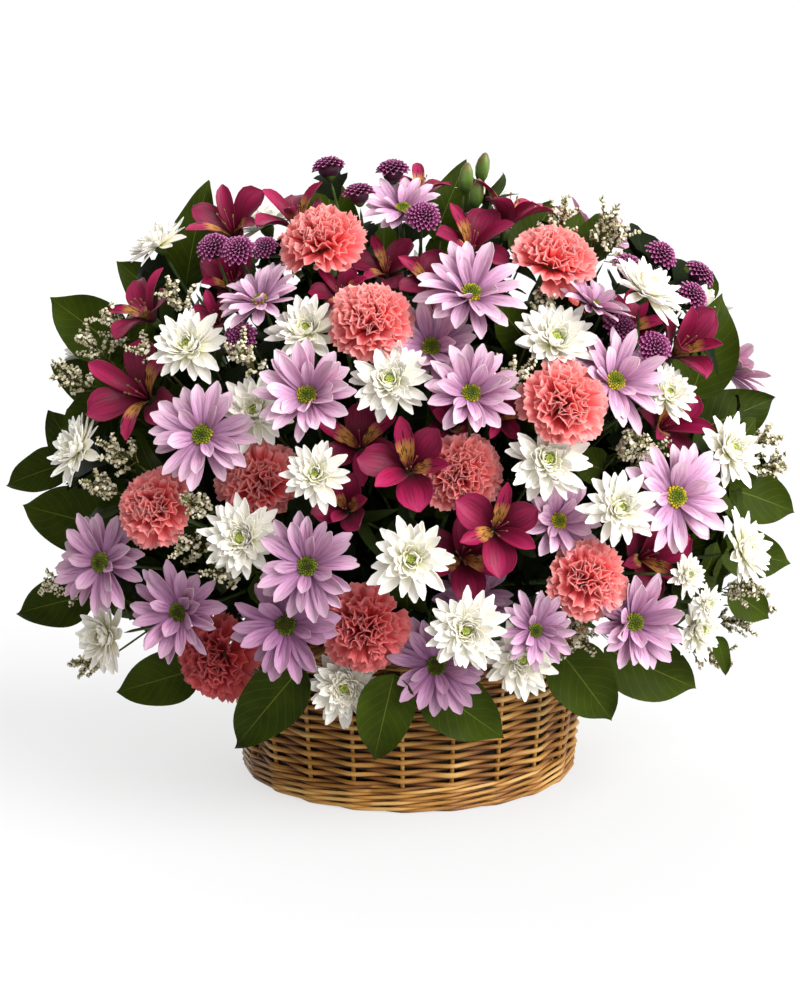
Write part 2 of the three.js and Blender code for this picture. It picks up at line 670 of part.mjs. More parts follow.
function settleLeaves() {
  for (const [name, leaves] of Object.entries(leafPlan)) {
    const stem = addStem(name, "salal", "salal");
    leaves.forEach((l, i) => {
      const base = atDepth(l.base, l.baseDepth);
      const tip = atDepth(l.tip, l.tipDepth);
      const outward = base.clone().lerp(tip, 0.5).sub(heart).normalize();
      const faceTo = outward.multiplyScalar(0.4).add(TOWARDS_VIEWER).normalize();
      addLeaf(stem, base, tip, l.width, faceTo, sightLine(...l.tip), name + "/" + i);
    });
  }
  for (const [name, leaves] of Object.entries(farLeafPlan)) {
    const stem = addStem(name, "salal", "salal");
    leaves.forEach(([from, to, width], i) => {
      const base = roundMound(...from, farLeafProud.base);
      const tip = roundMound(...to, farLeafProud.tip);
      const outward = base.clone().lerp(tip, 0.5).sub(mound.middle).normalize();
      addLeaf(stem, base, tip, width, outward, outward.clone().negate(), name + "/" + i);
    });
  }
}

function settleStatice() {
  for (const [name, [depth, ...tips]] of Object.entries(staticePlan)) {
    const stem = addStem(name, "statice", "statice");
    tips.forEach((place, i) =>
      addSpindle(stem, tuft, place, -depth, tuft.sunk * tuft.length, name + "/" + i));
  }
}

// ---------------------------------------------------------------- the basket and what it holds

const wallRadiusAt = (z) => basket.footRadius
  + ((basket.rimRadius - basket.footRadius) * z) / basket.height;

// A closed ring or cup, turned from a profile of [radius, height] points.
function turnedRing(profile, sides) {
  const points = profile.map(([r, z]) => new THREE.Vector2(r, z));
  return new THREE.LatheGeometry(points, sides).rotateX(Math.PI / 2);
}

function basketBase() {
  const r = wallRadiusAt(0) - basket.wallThickness - GAP;
  return turnedRing([[0, 0], [r, 0], [r, basket.baseThickness], [0, basket.baseThickness]], basket.sides);
}

function basketWall() {
  const high = basket.height - basket.borderRadius * Math.sin(Math.PI / 3) - GAP;
  const outer = [0, 0.33, 0.67, 1].map((share) => [wallRadiusAt(share * high), share * high]);
  const inner = [high, 0].map((z) => [wallRadiusAt(z) - basket.wallThickness, z]);
  return turnedRing([...outer, ...inner, outer[0]], basket.sides);
}

function basketBorder() {
  const middle = wallRadiusAt(basket.height) - basket.wallThickness / 2;
  const corners = 6;
  const ring = Array.from({ length: corners + 1 }, (_, i) => {
    const angle = (2 * Math.PI * (i % corners)) / corners;
    return [middle + basket.borderRadius * Math.cos(angle),
      basket.height + basket.borderRadius * Math.sin(angle)];
  });
  return turnedRing(ring, basket.sides);
}

function linerCup() {
  const foot = basket.baseThickness + GAP;
  const top = wallRadiusAt(liner.height) - basket.wallThickness - liner.clearOfWall;
  const bottom = wallRadiusAt(0) - basket.wallThickness - liner.clearOfWall - liner.taper;
  const w = liner.wall;
  return turnedRing([[0, foot], [bottom, foot], [top, liner.height],
    [top - w, liner.height], [bottom - w, foot + w], [0, foot + w]], liner.sides);
}

function foamBlock() {
  const foot = basket.baseThickness + liner.wall + 2 * GAP;
  const { radius, top, chamfer } = foam;
  return turnedRing([[0, foot], [radius, foot], [radius, top - chamfer],
    [radius - chamfer, top], [0, top]], foam.sides);
}

// ---------------------------------------------------------------- building the arrangement

const arrangement = new THREE.Group();

function addPiece(name, geometry, colour, roughness = 0.7) {
  const material = new THREE.MeshStandardMaterial({ color: colour, roughness, metalness: 0 });
  const mesh = new THREE.Mesh(geometry, material);
  mesh.name = name;
  arrangement.add(mesh);
}

const wall = basketWall();
const border = basketBorder();
const cup = linerCup();
const block = placed(foamBlock());
obstacles.push(...[wall, border, cup].map((geometry) => placed(geometry.clone())));

settleBlooms();
settleBuds();
settleLeaves();
settleStatice();

const colourOf = { salal: leafShape.colour, statice: tuft.colour };
for (const [kind, head] of Object.entries(heads)) colourOf[kind] = head.colour;

const holes = []; // where stems stand in the foam
for (const stem of stems) {
  const { rods, rooms } = growStem(stem.stemKind, stem.ends);
  const whole = wasm.Manifold.union([...stem.parts, ...rods].map(solidOf));
  obstacles.push(...rods.map((grown) => ({ ...placed(grown), owner: "stem" })));
  for (const room of rooms.map(placed)) if (touches(room, block)) holes.push(room.solid);
  addPiece(stem.name, geometryOf(whole), colourOf[stem.kind]);
}

addPiece("basket_base", basketBase(), 0xb98a4a);
addPiece("basket_wall", wall, 0xc0924f);
addPiece("basket_border", border, 0xb98a4a);
addPiece("liner_tray", cup, 0x26301f, 0.4);
const pierced = block.solid.subtract(wasm.Manifold.union(holes));
addPiece("floral_foam", geometryOf(pierced), 0x3f6b3a, 0.9);

export default arrangement;
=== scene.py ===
# %% [markdown]
# # A willow basket of cut flowers
# This lesson dresses a finished CAD part, a round willow basket with a mound of flowers, in Blender.
# The CAD part is the fixed frame: it says where each stem stands and where each bloom sits.
# Every piece made here is put exactly where its CAD node is, so nothing has to be fitted by eye.
# All lengths are in metres, as in the frame, and MM turns millimetres into metres.

# %% Load the frame
import bpy
import bmesh
import math
import random
from mathutils import Matrix, Vector


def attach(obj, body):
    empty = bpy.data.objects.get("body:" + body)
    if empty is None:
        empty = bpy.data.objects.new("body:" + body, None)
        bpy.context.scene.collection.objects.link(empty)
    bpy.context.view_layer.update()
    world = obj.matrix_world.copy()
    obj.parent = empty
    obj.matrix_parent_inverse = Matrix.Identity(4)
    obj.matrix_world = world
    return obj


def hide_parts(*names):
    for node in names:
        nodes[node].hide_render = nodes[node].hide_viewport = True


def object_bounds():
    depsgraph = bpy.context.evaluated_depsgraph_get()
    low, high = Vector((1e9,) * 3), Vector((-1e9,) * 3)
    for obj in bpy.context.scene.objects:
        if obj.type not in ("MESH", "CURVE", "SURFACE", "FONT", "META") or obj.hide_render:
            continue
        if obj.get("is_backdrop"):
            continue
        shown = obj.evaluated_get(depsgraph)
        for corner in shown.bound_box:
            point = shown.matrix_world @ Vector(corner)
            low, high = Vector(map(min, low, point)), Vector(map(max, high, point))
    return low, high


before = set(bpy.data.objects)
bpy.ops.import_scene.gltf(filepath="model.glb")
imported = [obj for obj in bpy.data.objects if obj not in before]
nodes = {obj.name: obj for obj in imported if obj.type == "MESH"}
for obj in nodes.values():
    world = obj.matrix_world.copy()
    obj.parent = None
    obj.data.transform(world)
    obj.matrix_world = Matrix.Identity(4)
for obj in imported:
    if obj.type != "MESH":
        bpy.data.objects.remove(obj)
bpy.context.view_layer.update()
MM = 0.001
TAU = 2 * math.pi
GOLDEN = math.pi * (3 - math.sqrt(5))  # the turn from one floret or petal to the next in a spiral

# %% [markdown]
# ## The camera
# The picture was taken from a little above the flowers, with a long lens, so the basket's sides look
# nearly straight. A camera could be aimed with a Track To constraint, but its place and its tilt are
# known here: it stands 1.9 m in front, 632 mm up, and looks down by 12.5 degrees. It is made first.

# %% Camera
CAMERA_PLACE = (-0.007, -1.9, 0.632)
CAMERA_TILT = 12.5  # degrees below level
CAMERA_LENS, SENSOR_WIDTH = 89.9, 36  # mm


def add_object(name, data):
    """An object for a datablock, linked to the scene."""
    made = bpy.data.objects.new(name, data)
    bpy.context.scene.collection.objects.link(made)
    return made


camera_data = bpy.data.cameras.new("camera")
camera_data.lens, camera_data.sensor_width = CAMERA_LENS, SENSOR_WIDTH
camera = add_object("camera", camera_data)
camera.location = CAMERA_PLACE
camera.rotation_euler = (math.radians(90 - CAMERA_TILT), 0, 0)
bpy.context.scene.camera = camera
print("camera at", CAMERA_PLACE)

# %% [markdown]
# ## Colour and node helpers
# A hex colour is written for the eye, in sRGB, while shaders add light in linear values, so one
# function turns the first into the second. Nodes could be dragged together in the Shader Editor. Here
# one function adds a node with its settings and its links, and the rest of a material then reads as a
# plain list of nodes that ends in its surface.


# %% Helpers for materials
def linear(code):
    """An sRGB hex colour as linear red, green, blue and alpha."""
    parts = [int(code[i:i + 2], 16) / 255 for i in (1, 3, 5)]
    return (*(c / 12.92 if c <= 0.04045 else ((c + 0.055) / 1.055) ** 2.4 for c in parts), 1.0)


def add_node(tree, kind, inputs=None, **settings):
    """One node of a kind, with its own settings and its inputs set or linked."""
    made = tree.nodes.new("ShaderNode" + kind)
    for name, value in settings.items():
        setattr(made, name, value)
    for name, value in (inputs or {}).items():
        if isinstance(value, bpy.types.NodeSocket):
            tree.links.new(value, made.inputs[name])
        else:
            made.inputs[name].default_value = value
    return made


def set_stops(ramp, *stops):
    """Places hex colours along a colour ramp."""
    while len(ramp.color_ramp.elements) < len(stops):
        ramp.color_ramp.elements.new(0.5)
    for element, (place, code) in zip(ramp.color_ramp.elements, stops):
        element.position = place
        element.color = linear(code)
    return ramp


def new_material(name):
    """A material and its empty node tree."""
    made = bpy.data.materials.new(name)
    made.use_nodes = True
    made.node_tree.nodes.clear()
    return made, made.node_tree


def add_surface(tree, inputs):
    """The Principled shader with its inputs, joined to the material's output."""
    shader = add_node(tree, "BsdfPrincipled", inputs)
    add_node(tree, "OutputMaterial", {"Surface": shader.outputs["BSDF"]})
    return shader


print("#808080 in linear light:", round(linear("#808080")[0], 3))

# %% [markdown]
# ## Petals as a material
# A petal is living tissue: thin, matt, darker where it leaves the heart and paler at its edge, with
# fine veins along it. Light enters it and comes out again near by, so a share of subsurface scattering
# softens its shadows. A UV map follows each petal, with X across it and Y from base to tip, so the
# colour and the veins follow the petal however it bends. Two values ride on the mesh as well: "shade"
# is different for each petal, because no two are quite alike, and "bloom" is set for each flower as a
# painted shade and light: deeper in the lower blooms and paler in those on the right.


# %% Petal material
def petal_material(name, stops, shaded, *, veins=26, vein_depth=0.25, rough=0.55, glow=0.0,
                   through=(1.0, 0.55, 0.5), deep=2.5, vary=(0.82, 1.08), painted_shade_share=0.55):
    """Tissue that runs through stops from base to tip, and is drawn towards shaded, a painted shade,
    where the "bloom" value is high.

    veins lie across a petal, vary is the range of tones from petal to petal, and glow is how much
    light scatters inside, to a depth of deep millimetres.
    """
    made, tree = new_material(name)
    uv = add_node(tree, "UVMap", uv_map="UVMap")
    split = add_node(tree, "SeparateXYZ", {"Vector": uv.outputs["UV"]})
    along = set_stops(add_node(tree, "ValToRGB", {"Fac": split.outputs["Y"]}), *stops)
    stretched = add_node(tree, "Mapping", {"Vector": uv.outputs["UV"], "Scale": (veins, 2.2, 1)})
    vein = add_node(tree, "TexNoise", {"Vector": stretched.outputs["Vector"], "Scale": 1.0,
                                       "Detail": 2.0})
    # the "bloom" value paints shade: the higher it is, the nearer the colour comes to shaded
    bloom = add_node(tree, "Attribute", attribute_name="bloom")
    painted_shade_mix = add_node(tree, "Math", {0: bloom.outputs["Fac"], 1: painted_shade_share}, operation="MULTIPLY")
    toned = add_node(tree, "Mix", {0: painted_shade_mix.outputs[0], 6: along.outputs["Color"],
                                   7: linear(shaded)}, data_type="RGBA")
    vein_tone = add_node(tree, "MapRange", {"Value": vein.outputs["Fac"], "From Min": 0.3,
                                            "From Max": 0.7, "To Min": 1 - vein_depth,
                                            "To Max": 1 + vein_depth * 0.4})
    shade = add_node(tree, "Attribute", attribute_name="shade")
    petal_tone = add_node(tree, "MapRange", {"Value": shade.outputs["Fac"], "To Min": vary[0],
                                             "To Max": vary[1]})
    tone = add_node(tree, "Math", {0: vein_tone.outputs[0], 1: petal_tone.outputs[0]},
                    operation="MULTIPLY")
    colour = add_node(tree, "HueSaturation", {"Color": toned.outputs[2], "Value": tone.outputs[0]})
    bump = add_node(tree, "Bump", {"Height": vein.outputs["Fac"], "Strength": 0.5,
                                   "Distance": 0.4 * MM})
    add_surface(tree, {"Base Color": colour.outputs["Color"], "Normal": bump.outputs["Normal"],
                       "Roughness": rough, "Specular IOR Level": 0.2, "Sheen Weight": 0.05,
                       "Subsurface Weight": glow, "Subsurface Radius": through,
                       "Subsurface Scale": deep * MM})
    return made


print("petal materials read the values shade and bloom")

# %% [markdown]
# Each flower gets tissue of its own colours, as stops from the base of a petal to its tip, and a
# colour that its painted shade tends to. The vein counts come from real petals: a vein each 0.8 mm or
# so across a lilac ray, and about as fine on the broad fan of a carnation.

# %% Petal tissues
# a lilac ray is mauve at its base and palest near its tip, with grooves that catch the light
lilac_tissue = petal_material(
    "lilac_ray_petal_tissue",
    [(0.0, "#7A4468"), (0.22, "#B682A8"), (0.65, "#D8A8C4"), (1.0, "#ECCEDA")],
    "#7E4274", veins=15, vein_depth=0.3, glow=0.2, vary=(0.86, 1.14), painted_shade_share=0.85)
# a white petal is green at the very heart, and so smooth and pale that its veins hardly show
white_tissue = petal_material(
    "white_petal_tissue",
    [(0.0, "#D0D870"), (0.24, "#F2F0CC"), (0.46, "#FCF8EC"), (1.0, "#FFFCF6")],
    "#F2EAD4", veins=9, vein_depth=0.04, glow=0.15, through=(1.0, 0.96, 0.9), deep=3,
    vary=(0.97, 1.0), painted_shade_share=0.2)
# a carnation glows: light passes through one thin coral fan after the other, down to a deep red
coral_tissue = petal_material(
    "coral_carnation_petal_tissue",
    [(0.0, "#D01C2C"), (0.42, "#F2484E"), (0.8, "#FF7274"), (1.0, "#FF9E9A")],
    "#B82834", veins=34, vein_depth=0.14, glow=0.5, through=(1.0, 0.4, 0.36), deep=4,
    vary=(0.92, 1.12), painted_shade_share=0.8)
# a button's spoons are deep plum with pale tips, which draw the pattern of its spiral
plum_tissue = petal_material(
    "plum_button_petal_tissue",
    [(0.0, "#30041E"), (0.45, "#620A3C"), (0.8, "#8E2A68"), (1.0, "#CC94BC")],
    "#571040", veins=6, vein_depth=0.15, painted_shade_share=0.3)
# an alstroemeria's tepal is satin burgundy, close to crimson at its tip, with strong dark veins
burgundy_tissue = petal_material(
    "burgundy_tepal_tissue",
    [(0.0, "#2E0412"), (0.25, "#6E082C"), (0.66, "#940A42"), (1.0, "#AE2258")],
    "#4A081C", veins=28, vein_depth=0.5, rough=0.45, vary=(0.55, 1.15), painted_shade_share=0.8)
print("petal tissues:", len(bpy.data.materials))

# %% [markdown]
# The two upper inner tepals of an alstroemeria carry a golden throat with short dark dashes that guide
# insects. They could be painted on an image. Here a stretched Voronoi pattern draws them, because it
# follows the UV map: nine cells across a tepal 10 to 13 mm wide and five along its 46 mm, so a dash is
# about 1 mm by 7 mm. A ramp along the tepal keeps them off its foot and its tip.

# %% Striped tepal
striped_tissue = petal_material(
    "striped_tepal_tissue",
    [(0.06, "#5A1A18"), (0.24, "#B0742E"), (0.52, "#BC8644"), (0.68, "#940A42")],
    "#7A1A30", veins=14, rough=0.45, painted_shade_share=0.5)
tree = striped_tissue.node_tree
shader = next(n for n in tree.nodes if n.type == "BSDF_PRINCIPLED")
plain = shader.inputs["Base Color"].links[0].from_socket
uv = add_node(tree, "UVMap", uv_map="UVMap")
cells = add_node(tree, "Mapping", {"Vector": uv.outputs["UV"], "Scale": (9, 5, 1)})
dashes = add_node(tree, "TexVoronoi", {"Vector": cells.outputs["Vector"], "Scale": 1.0,
                                       "Randomness": 0.7})
dash = add_node(tree, "MapRange", {"Value": dashes.outputs["Distance"], "From Min": 0.36,
                                   "From Max": 0.42, "To Min": 1.0, "To Max": 0.0})
split = add_node(tree, "SeparateXYZ", {"Vector": uv.outputs["UV"]})
band = add_node(tree, "ValToRGB", {"Fac": split.outputs["Y"]})
set_stops(band, (0.1, "#000000"), (0.2, "#FFFFFF"), (0.74, "#FFFFFF"), (0.92, "#000000"))
shown = add_node(tree, "Math", {0: dash.outputs[0], 1: band.outputs["Color"]},
                 operation="MULTIPLY")
marked = add_node(tree, "Mix", {0: shown.outputs[0], 6: plain, 7: linear("#260410")},
                  data_type="RGBA")
tree.links.new(marked.outputs[2], shader.inputs["Base Color"])
print("striped tepal:", striped_tissue.name)

# %% [markdown]
# ## Green and dry parts
# Eyes, calyxes, stems, buds, anthers and statice all have a skin of fine cells, whose tone changes
# from part to part. One material could be made for each from scratch. It is one function here: the
# "shade" value on the mesh picks the tone from a ramp, and a fine noise in object space breaks it up
# and roughens it. Where the "bloom" value is high the tone can be taken down as well, a painted shade.


# %% Grained material
def grained_material(name, stops, *, grain=0.6, rough=0.8, specular=0.1, sheen=0.0, painted_shade_dim=0.0):
    """A surface whose tone follows "shade", with a grain of that size in millimetres."""
    made, tree = new_material(name)
    place = add_node(tree, "TexCoord")
    noise = add_node(tree, "TexNoise", {"Vector": place.outputs["Object"],
                                        "Scale": 1 / (grain * 4 * MM), "Detail": 3.0})
    shade = add_node(tree, "Attribute", attribute_name="shade")
    shifted = add_node(tree, "MapRange", {"Value": noise.outputs["Fac"], "From Min": 0.25,
                                          "From Max": 0.75, "To Min": -0.25, "To Max": 0.25})
    grained = add_node(tree, "Math", {0: shade.outputs["Fac"], 1: shifted.outputs[0]}, operation="ADD")
    # a high "bloom" value takes the tone down: a painted shade
    bloom = add_node(tree, "Attribute", attribute_name="bloom")
    mixed = add_node(tree, "Math", {0: bloom.outputs["Fac"], 1: -painted_shade_dim, 2: grained.outputs[0]},
                     operation="MULTIPLY_ADD")
    ramp = set_stops(add_node(tree, "ValToRGB", {"Fac": mixed.outputs[0]}), *stops)
    raised = add_node(tree, "Bump", {"Height": noise.outputs["Fac"], "Strength": 0.2,
                                     "Distance": grain * MM})
    add_surface(tree, {"Base Color": ramp.outputs["Color"], "Normal": raised.outputs["Normal"],
                       "Roughness": rough, "Specular IOR Level": specular, "Sheen Weight": sheen})
    return made


print("grained materials read the values shade and bloom")

# %% [markdown]
# Eight skins follow, each with its tones from dark to light and the width of its cells. Only what
# differs from a matt dry skin is said: a waxy one is smoother and gleams more.

# %% Green and dry skins
# a daisy's eye: a dense cushion of florets, green with a golden rim, painted darker and greener as
# a painted shade in the lower blooms, and lighter on the right
daisy_eye = grained_material(
    "daisy_disc_florets", [(0.0, "#3A3C12"), (0.35, "#586A1E"), (0.68, "#7C8428"), (0.92, "#C8AE2E")],
    grain=0.7, painted_shade_dim=0.8)
# the heart of a white mum: pale yellow-green and matt
mum_eye = grained_material("mum_heart_florets", [(0.0, "#5E7420"), (0.4, "#A9BA48"), (1.0, "#E0E290")])
# stems, cups and calyxes are smooth and slightly waxy, so they gleam softly
green_stem = grained_material(
    "green_stem_skin", [(0.0, "#1E2C0E"), (0.5, "#384A1A"), (1.0, "#5A6A30")],
    grain=2.0, rough=0.5, specular=0.2)
grey_calyx = grained_material(
    "waxy_calyx_skin", [(0.0, "#3A522A"), (0.5, "#5C7640"), (1.0, "#8A9C64")],
    grain=1.5, rough=0.45, specular=0.25)
green_bud = grained_material(
    "green_bud_skin", [(0.0, "#3B5A22"), (0.6, "#5F7A30"), (1.0, "#7A3A3C")],
    grain=1.2, rough=0.4, specular=0.4)
# filaments are rose, and the dusty anthers on them a dull ochre
anther_dust = grained_material(
    "anther_and_filament", [(0.0, "#8A1C44"), (0.4, "#A02C54"), (0.8, "#6A4A26"), (1.0, "#7E6632")],
    grain=0.4, specular=0.4)
# statice is papery and dry: cream florets with a faint sheen, on olive twigs
papery_floret = grained_material(
    "papery_statice_floret", [(0.0, "#7E744C"), (0.3, "#B4A884"), (0.65, "#D6CCAE"), (1.0, "#EEE8D2")],
    grain=0.5, specular=0.4, sheen=0.3)
dry_twig = grained_material("dry_statice_twig", [(0.0, "#2E2E12"), (0.5, "#56562A"), (1.0, "#86804A")],
                            grain=0.8)
print("materials so far:", len(bpy.data.materials))

# %% [markdown]
# ## Leaves as a material
# A salal leaf is leathery: a dark satin green with a paler midrib, and side veins that leave it at a
# slant about every 9 mm. The veins could be painted. Here they are found from the UV map: the
# distance from the middle line gives the midrib, and stripes on "along minus across" give the
# herringbone, so they fit a blade of any width and bend.


# %% Leaf material
MOTTLE_SCALE = 55.0  # per metre, for patches about 18 mm across


def leaf_material(name, dark, light, rib, *, ribs=9, rough=0.4, slant=0.55):
    """A leaf's skin with a midrib and slanting side veins."""
    made, tree = new_material(name)
    uv = add_node(tree, "UVMap", uv_map="UVMap")
    split = add_node(tree, "SeparateXYZ", {"Vector": uv.outputs["UV"]})
    centred = add_node(tree, "Math", {0: split.outputs["X"], 1: 0.5}, operation="SUBTRACT")
    aside = add_node(tree, "Math", {0: centred.outputs[0]}, operation="ABSOLUTE")
    midrib = add_node(tree, "MapRange", {"Value": aside.outputs[0], "From Min": 0.003,
                                         "From Max": 0.014, "To Min": 1.0, "To Max": 0.0})
    lag = add_node(tree, "Math", {0: aside.outputs[0], 1: -slant, 2: split.outputs["Y"]},
                   operation="MULTIPLY_ADD")
    turns = add_node(tree, "Math", {0: lag.outputs[0], 1: ribs * TAU}, operation="MULTIPLY")
    wave = add_node(tree, "Math", {0: turns.outputs[0]}, operation="SINE")
    side_rib = add_node(tree, "MapRange", {"Value": wave.outputs[0], "From Min": 0.93,
                                           "From Max": 1.0, "To Min": 0.0, "To Max": 0.22})
    veins = add_node(tree, "Math", {0: midrib.outputs[0], 1: side_rib.outputs[0]},
                     operation="MAXIMUM")
    place = add_node(tree, "TexCoord")
    mottle = add_node(tree, "TexNoise", {"Vector": place.outputs["Object"],
                                         "Scale": MOTTLE_SCALE, "Detail": 4.0})
    shade = add_node(tree, "Attribute", attribute_name="shade")
    half = add_node(tree, "Math", {0: shade.outputs["Fac"], 1: 0.5}, operation="MULTIPLY")
    tone = add_node(tree, "Math", {0: mottle.outputs["Fac"], 1: 0.5, 2: half.outputs[0]},
                    operation="MULTIPLY_ADD")
    skin = set_stops(add_node(tree, "ValToRGB", {"Fac": tone.outputs[0]}),
                     (0.2, dark), (0.85, light))
    veined = add_node(tree, "Mix", {0: veins.outputs[0], 6: skin.outputs["Color"], 7: linear(rib)},
                      data_type="RGBA")
    raised = add_node(tree, "Math", {0: mottle.outputs["Fac"], 1: 0.4, 2: veins.outputs[0]},
                      operation="MULTIPLY_ADD")
    bump = add_node(tree, "Bump", {"Height": raised.outputs[0], "Strength": 0.35,
                                   "Distance": 0.5 * MM}, invert=True)
    add_surface(tree, {"Base Color": veined.outputs[2], "Normal": bump.outputs["Normal"],
                       "Roughness": rough, "Specular IOR Level": 0.15, "IOR": 1.2})
    return made


# salal is thick and leathery, with a dull gleam; a mum's leaf is soft and matt, and painted nearly
# black, a painted shade for the depth of the mound; an alstroemeria's leaf is smooth, with hardly a
# side vein
salal_skin = leaf_material("leathery_salal_leaf", "#131906", "#3A480C", "#566224")
mum_skin = leaf_material("soft_mum_leaf", "#0E130A", "#222C14", "#2A3520", ribs=5, rough=0.6)
lance_skin = leaf_material("smooth_lance_leaf", "#111809", "#2A3614", "#34411C", ribs=1, rough=0.45)
print("leaf skins:", salal_skin.name, mum_skin.name, lance_skin.name)

# %% [markdown]
# ## Flat sheets
# Every petal and leaf here starts as a flat grid with a UV map. A surface could be drawn point by
# point, but the grid operator gives even faces, all joined, and its UVs at once, and then only the
# places of its vertices have to be worked out by a function shape(u, v).


# %% Flat sheets
CRISP = 0.9  # radians


def new_bloom():
    """An empty bmesh with a UV map and a shade value for each vertex."""
    bm = bmesh.new()
    bm.loops.layers.uv.new("UVMap")
    bm.verts.layers.float.new("shade")
    return bm


def add_sheet(bm, across, along, shape, place, shade, slot=0, reach=1.0):
    """A grid that shape(u, v) bends, with u from -1 to 1 across it and v from 0 to 1 along it.

    reach says how much of the colours from base to tip the sheet runs through.
    """
    verts = bmesh.ops.create_grid(bm, x_segments=across, y_segments=along, size=0.5,
                                  calc_uvs=True)["verts"]
    tone = bm.verts.layers.float["shade"]
    uv = bm.loops.layers.uv["UVMap"]
    for vert in verts:
        vert.co = shape(2 * vert.co.x, vert.co.y + 0.5)
        vert[tone] = shade
    bmesh.ops.transform(bm, matrix=place, verts=verts)
    for face in {face for vert in verts for face in vert.link_faces}:
        face.material_index = slot
        face.smooth = True
        for loop in face.loops:
            loop[uv].uv.y *= reach


def thicken(bm, thickness):
    """Gives sheets their thickness, with a crisp rim."""
    bmesh.ops.solidify(bm, geom=bm.faces[:], thickness=thickness)
    for edge in bm.edges:
        edge.smooth = edge.calc_face_angle(0.0) < CRISP


print("a sheet's rim is crisp past", round(math.degrees(CRISP)), "degrees")

# %% [markdown]
# ## Bending a sheet
# A petal bends like a springy strip: its middle line is an arc that rises by one angle at the base
# and by another at the tip. Its width follows an outline, its sides cup, and it may have grooves, a
# sideways sway and a ruffle. With a few random numbers each, one function gives thousands of different
# petals and leaves, where a Bend modifier would need an object and its settings for every one.


# %% Bending a sheet
def between(t, low, high):
    return low + (high - low) * max(0.0, min(1.0, t))


def sheet_shape(length, width, start, end, outline, cup=0.0, groove=0.0, ridges=3, sway=0.0,
                ruffle=None):
    """The bending of one sheet: start and end are how steeply it rises, in degrees."""
    first, turn = math.radians(start), math.radians(end - start)

    def shape(u, v):
        rise = first + turn * v
        if abs(turn) < 1e-4:
            out, up = v * length * math.cos(first), v * length * math.sin(first)
        else:
            out = length / turn * (math.sin(rise) - math.sin(first))
            up = length / turn * (math.cos(first) - math.cos(rise))
        half = 0.5 * width * outline(v)
        lift = cup * half * u * u
        lift += groove * math.cos(ridges * math.pi * u) * math.sin(math.pi * min(1.0, 1.1 * v))
        if ruffle:
            extra, reach = ruffle(u, v)
            lift += extra
            out += reach * math.cos(rise)
            up += reach * math.sin(rise)
        return Vector((u * half + sway * v * v * length, out - lift * math.sin(rise),
                       up + lift * math.cos(rise)))
    return shape


def around(angle, radius, height, tilt=0.0):
    """A place on a ring, with the petal's own +Y pointing outwards."""
    return (Matrix.Rotation(angle, 4, "Z") @ Matrix.Translation((0, radius, height))
            @ Matrix.Rotation(tilt, 4, "Y"))


quarter = sheet_shape(1.0, 0.2, 0, 90, lambda v: 1.0)
print("a strip bent up by a right angle ends at", [round(x, 2) for x in quarter(0, 1)])

# %% [markdown]
# ## Closed forms in a bloom
# Behind each bloom is a green cup, the calyx, and in a daisy's middle a disc of florets. The cup is a
# short profile spun once round, which a lathe would do, and it is closed where the profile meets the
# axis. The disc is a flattened ball under a sunflower spiral of tiny florets, each from an icosphere
# with only twenty faces, because there are thousands of them.


# %% Cups and discs
MOST_FLORETS = 60


def paint(bm, verts, shade, slot):
    """Gives verts a shade and their faces a material slot."""
    tone = bm.verts.layers.float["shade"]
    for vert in verts:
        vert[tone] = shade
        for face in vert.link_faces:
            face.material_index = slot
            face.smooth = True


def add_cup(bm, outline, slot, steps=12):
    """A closed cup, spun from an outline of (radius, height) in mm from axis to axis."""
    points = [bm.verts.new((r * MM, 0, z * MM)) for r, z in outline]
    edges = [bm.edges.new(pair) for pair in zip(points, points[1:])]
    before = set(bm.faces)
    bmesh.ops.spin(bm, geom=points + edges, cent=(0, 0, 0), axis=(0, 0, 1), angle=TAU, steps=steps,
                   use_merge=True)
    faces = [face for face in bm.faces if face not in before]
    verts = list({vert for face in faces for vert in face.verts})
    bmesh.ops.remove_doubles(bm, verts=verts, dist=0.01 * MM)
    faces = [face for face in bm.faces if face not in before]
    bmesh.ops.recalc_face_normals(bm, faces=faces)
    paint(bm, {vert for face in faces for vert in face.verts}, 0.5, slot)


def add_disc(bm, radius, dome, base, florets, slot, rng, size=0.15):
    """A dome of tiny florets, dark in the middle. size is a floret's share of the radius."""
    ball = bmesh.ops.create_uvsphere(bm, u_segments=12, v_segments=6, radius=radius)["verts"]
    bmesh.ops.scale(bm, vec=(1, 1, dome / radius), verts=ball)
    bmesh.ops.translate(bm, vec=(0, 0, base), verts=ball)
    paint(bm, ball, 0.1, slot)
    for i in range(florets):
        share = math.sqrt((i + 0.5) / florets)
        height = base + dome * math.sqrt(max(0.0, 1 - 0.96 * share * share))
        dot = bmesh.ops.create_icosphere(bm, subdivisions=1,
                                         radius=radius * size * (0.8 + 0.4 * share))["verts"]
        bmesh.ops.scale(bm, vec=(1, 1, 1.5), verts=dot)
        bmesh.ops.translate(bm, vec=(radius * share * math.cos(i * GOLDEN),
                                     radius * share * math.sin(i * GOLDEN), height), verts=dot)
        paint(bm, dot, 0.2 + 0.75 * share + rng.uniform(-0.1, 0.1), slot)


print("a disc has up to", MOST_FLORETS, "florets")

# %% [markdown]
# ## A few of each
# Three or four different flowers of each kind are enough: turned and sized differently, no two in the
# mound look the same. Each kind has its own seed, so that a change in one never changes another.


# %% Variants
def finished(bm, name, *materials):
    """A mesh datablock from a bloom's bmesh, with its materials in slot order."""
    mesh = bpy.data.meshes.new(name)
    bm.to_mesh(mesh)
    bm.free()
    for material in materials:
        mesh.materials.append(material)
    return mesh


def variants(make, seed, settings):
    """One flower for each tuple of settings, each with a random seed of its own."""
    kind = [make(random.Random(seed + i), *one) for i, one in enumerate(settings)]
    print(kind[0].name, "variants:", len(kind), "faces:", [len(mesh.polygons) for mesh in kind])
    return kind


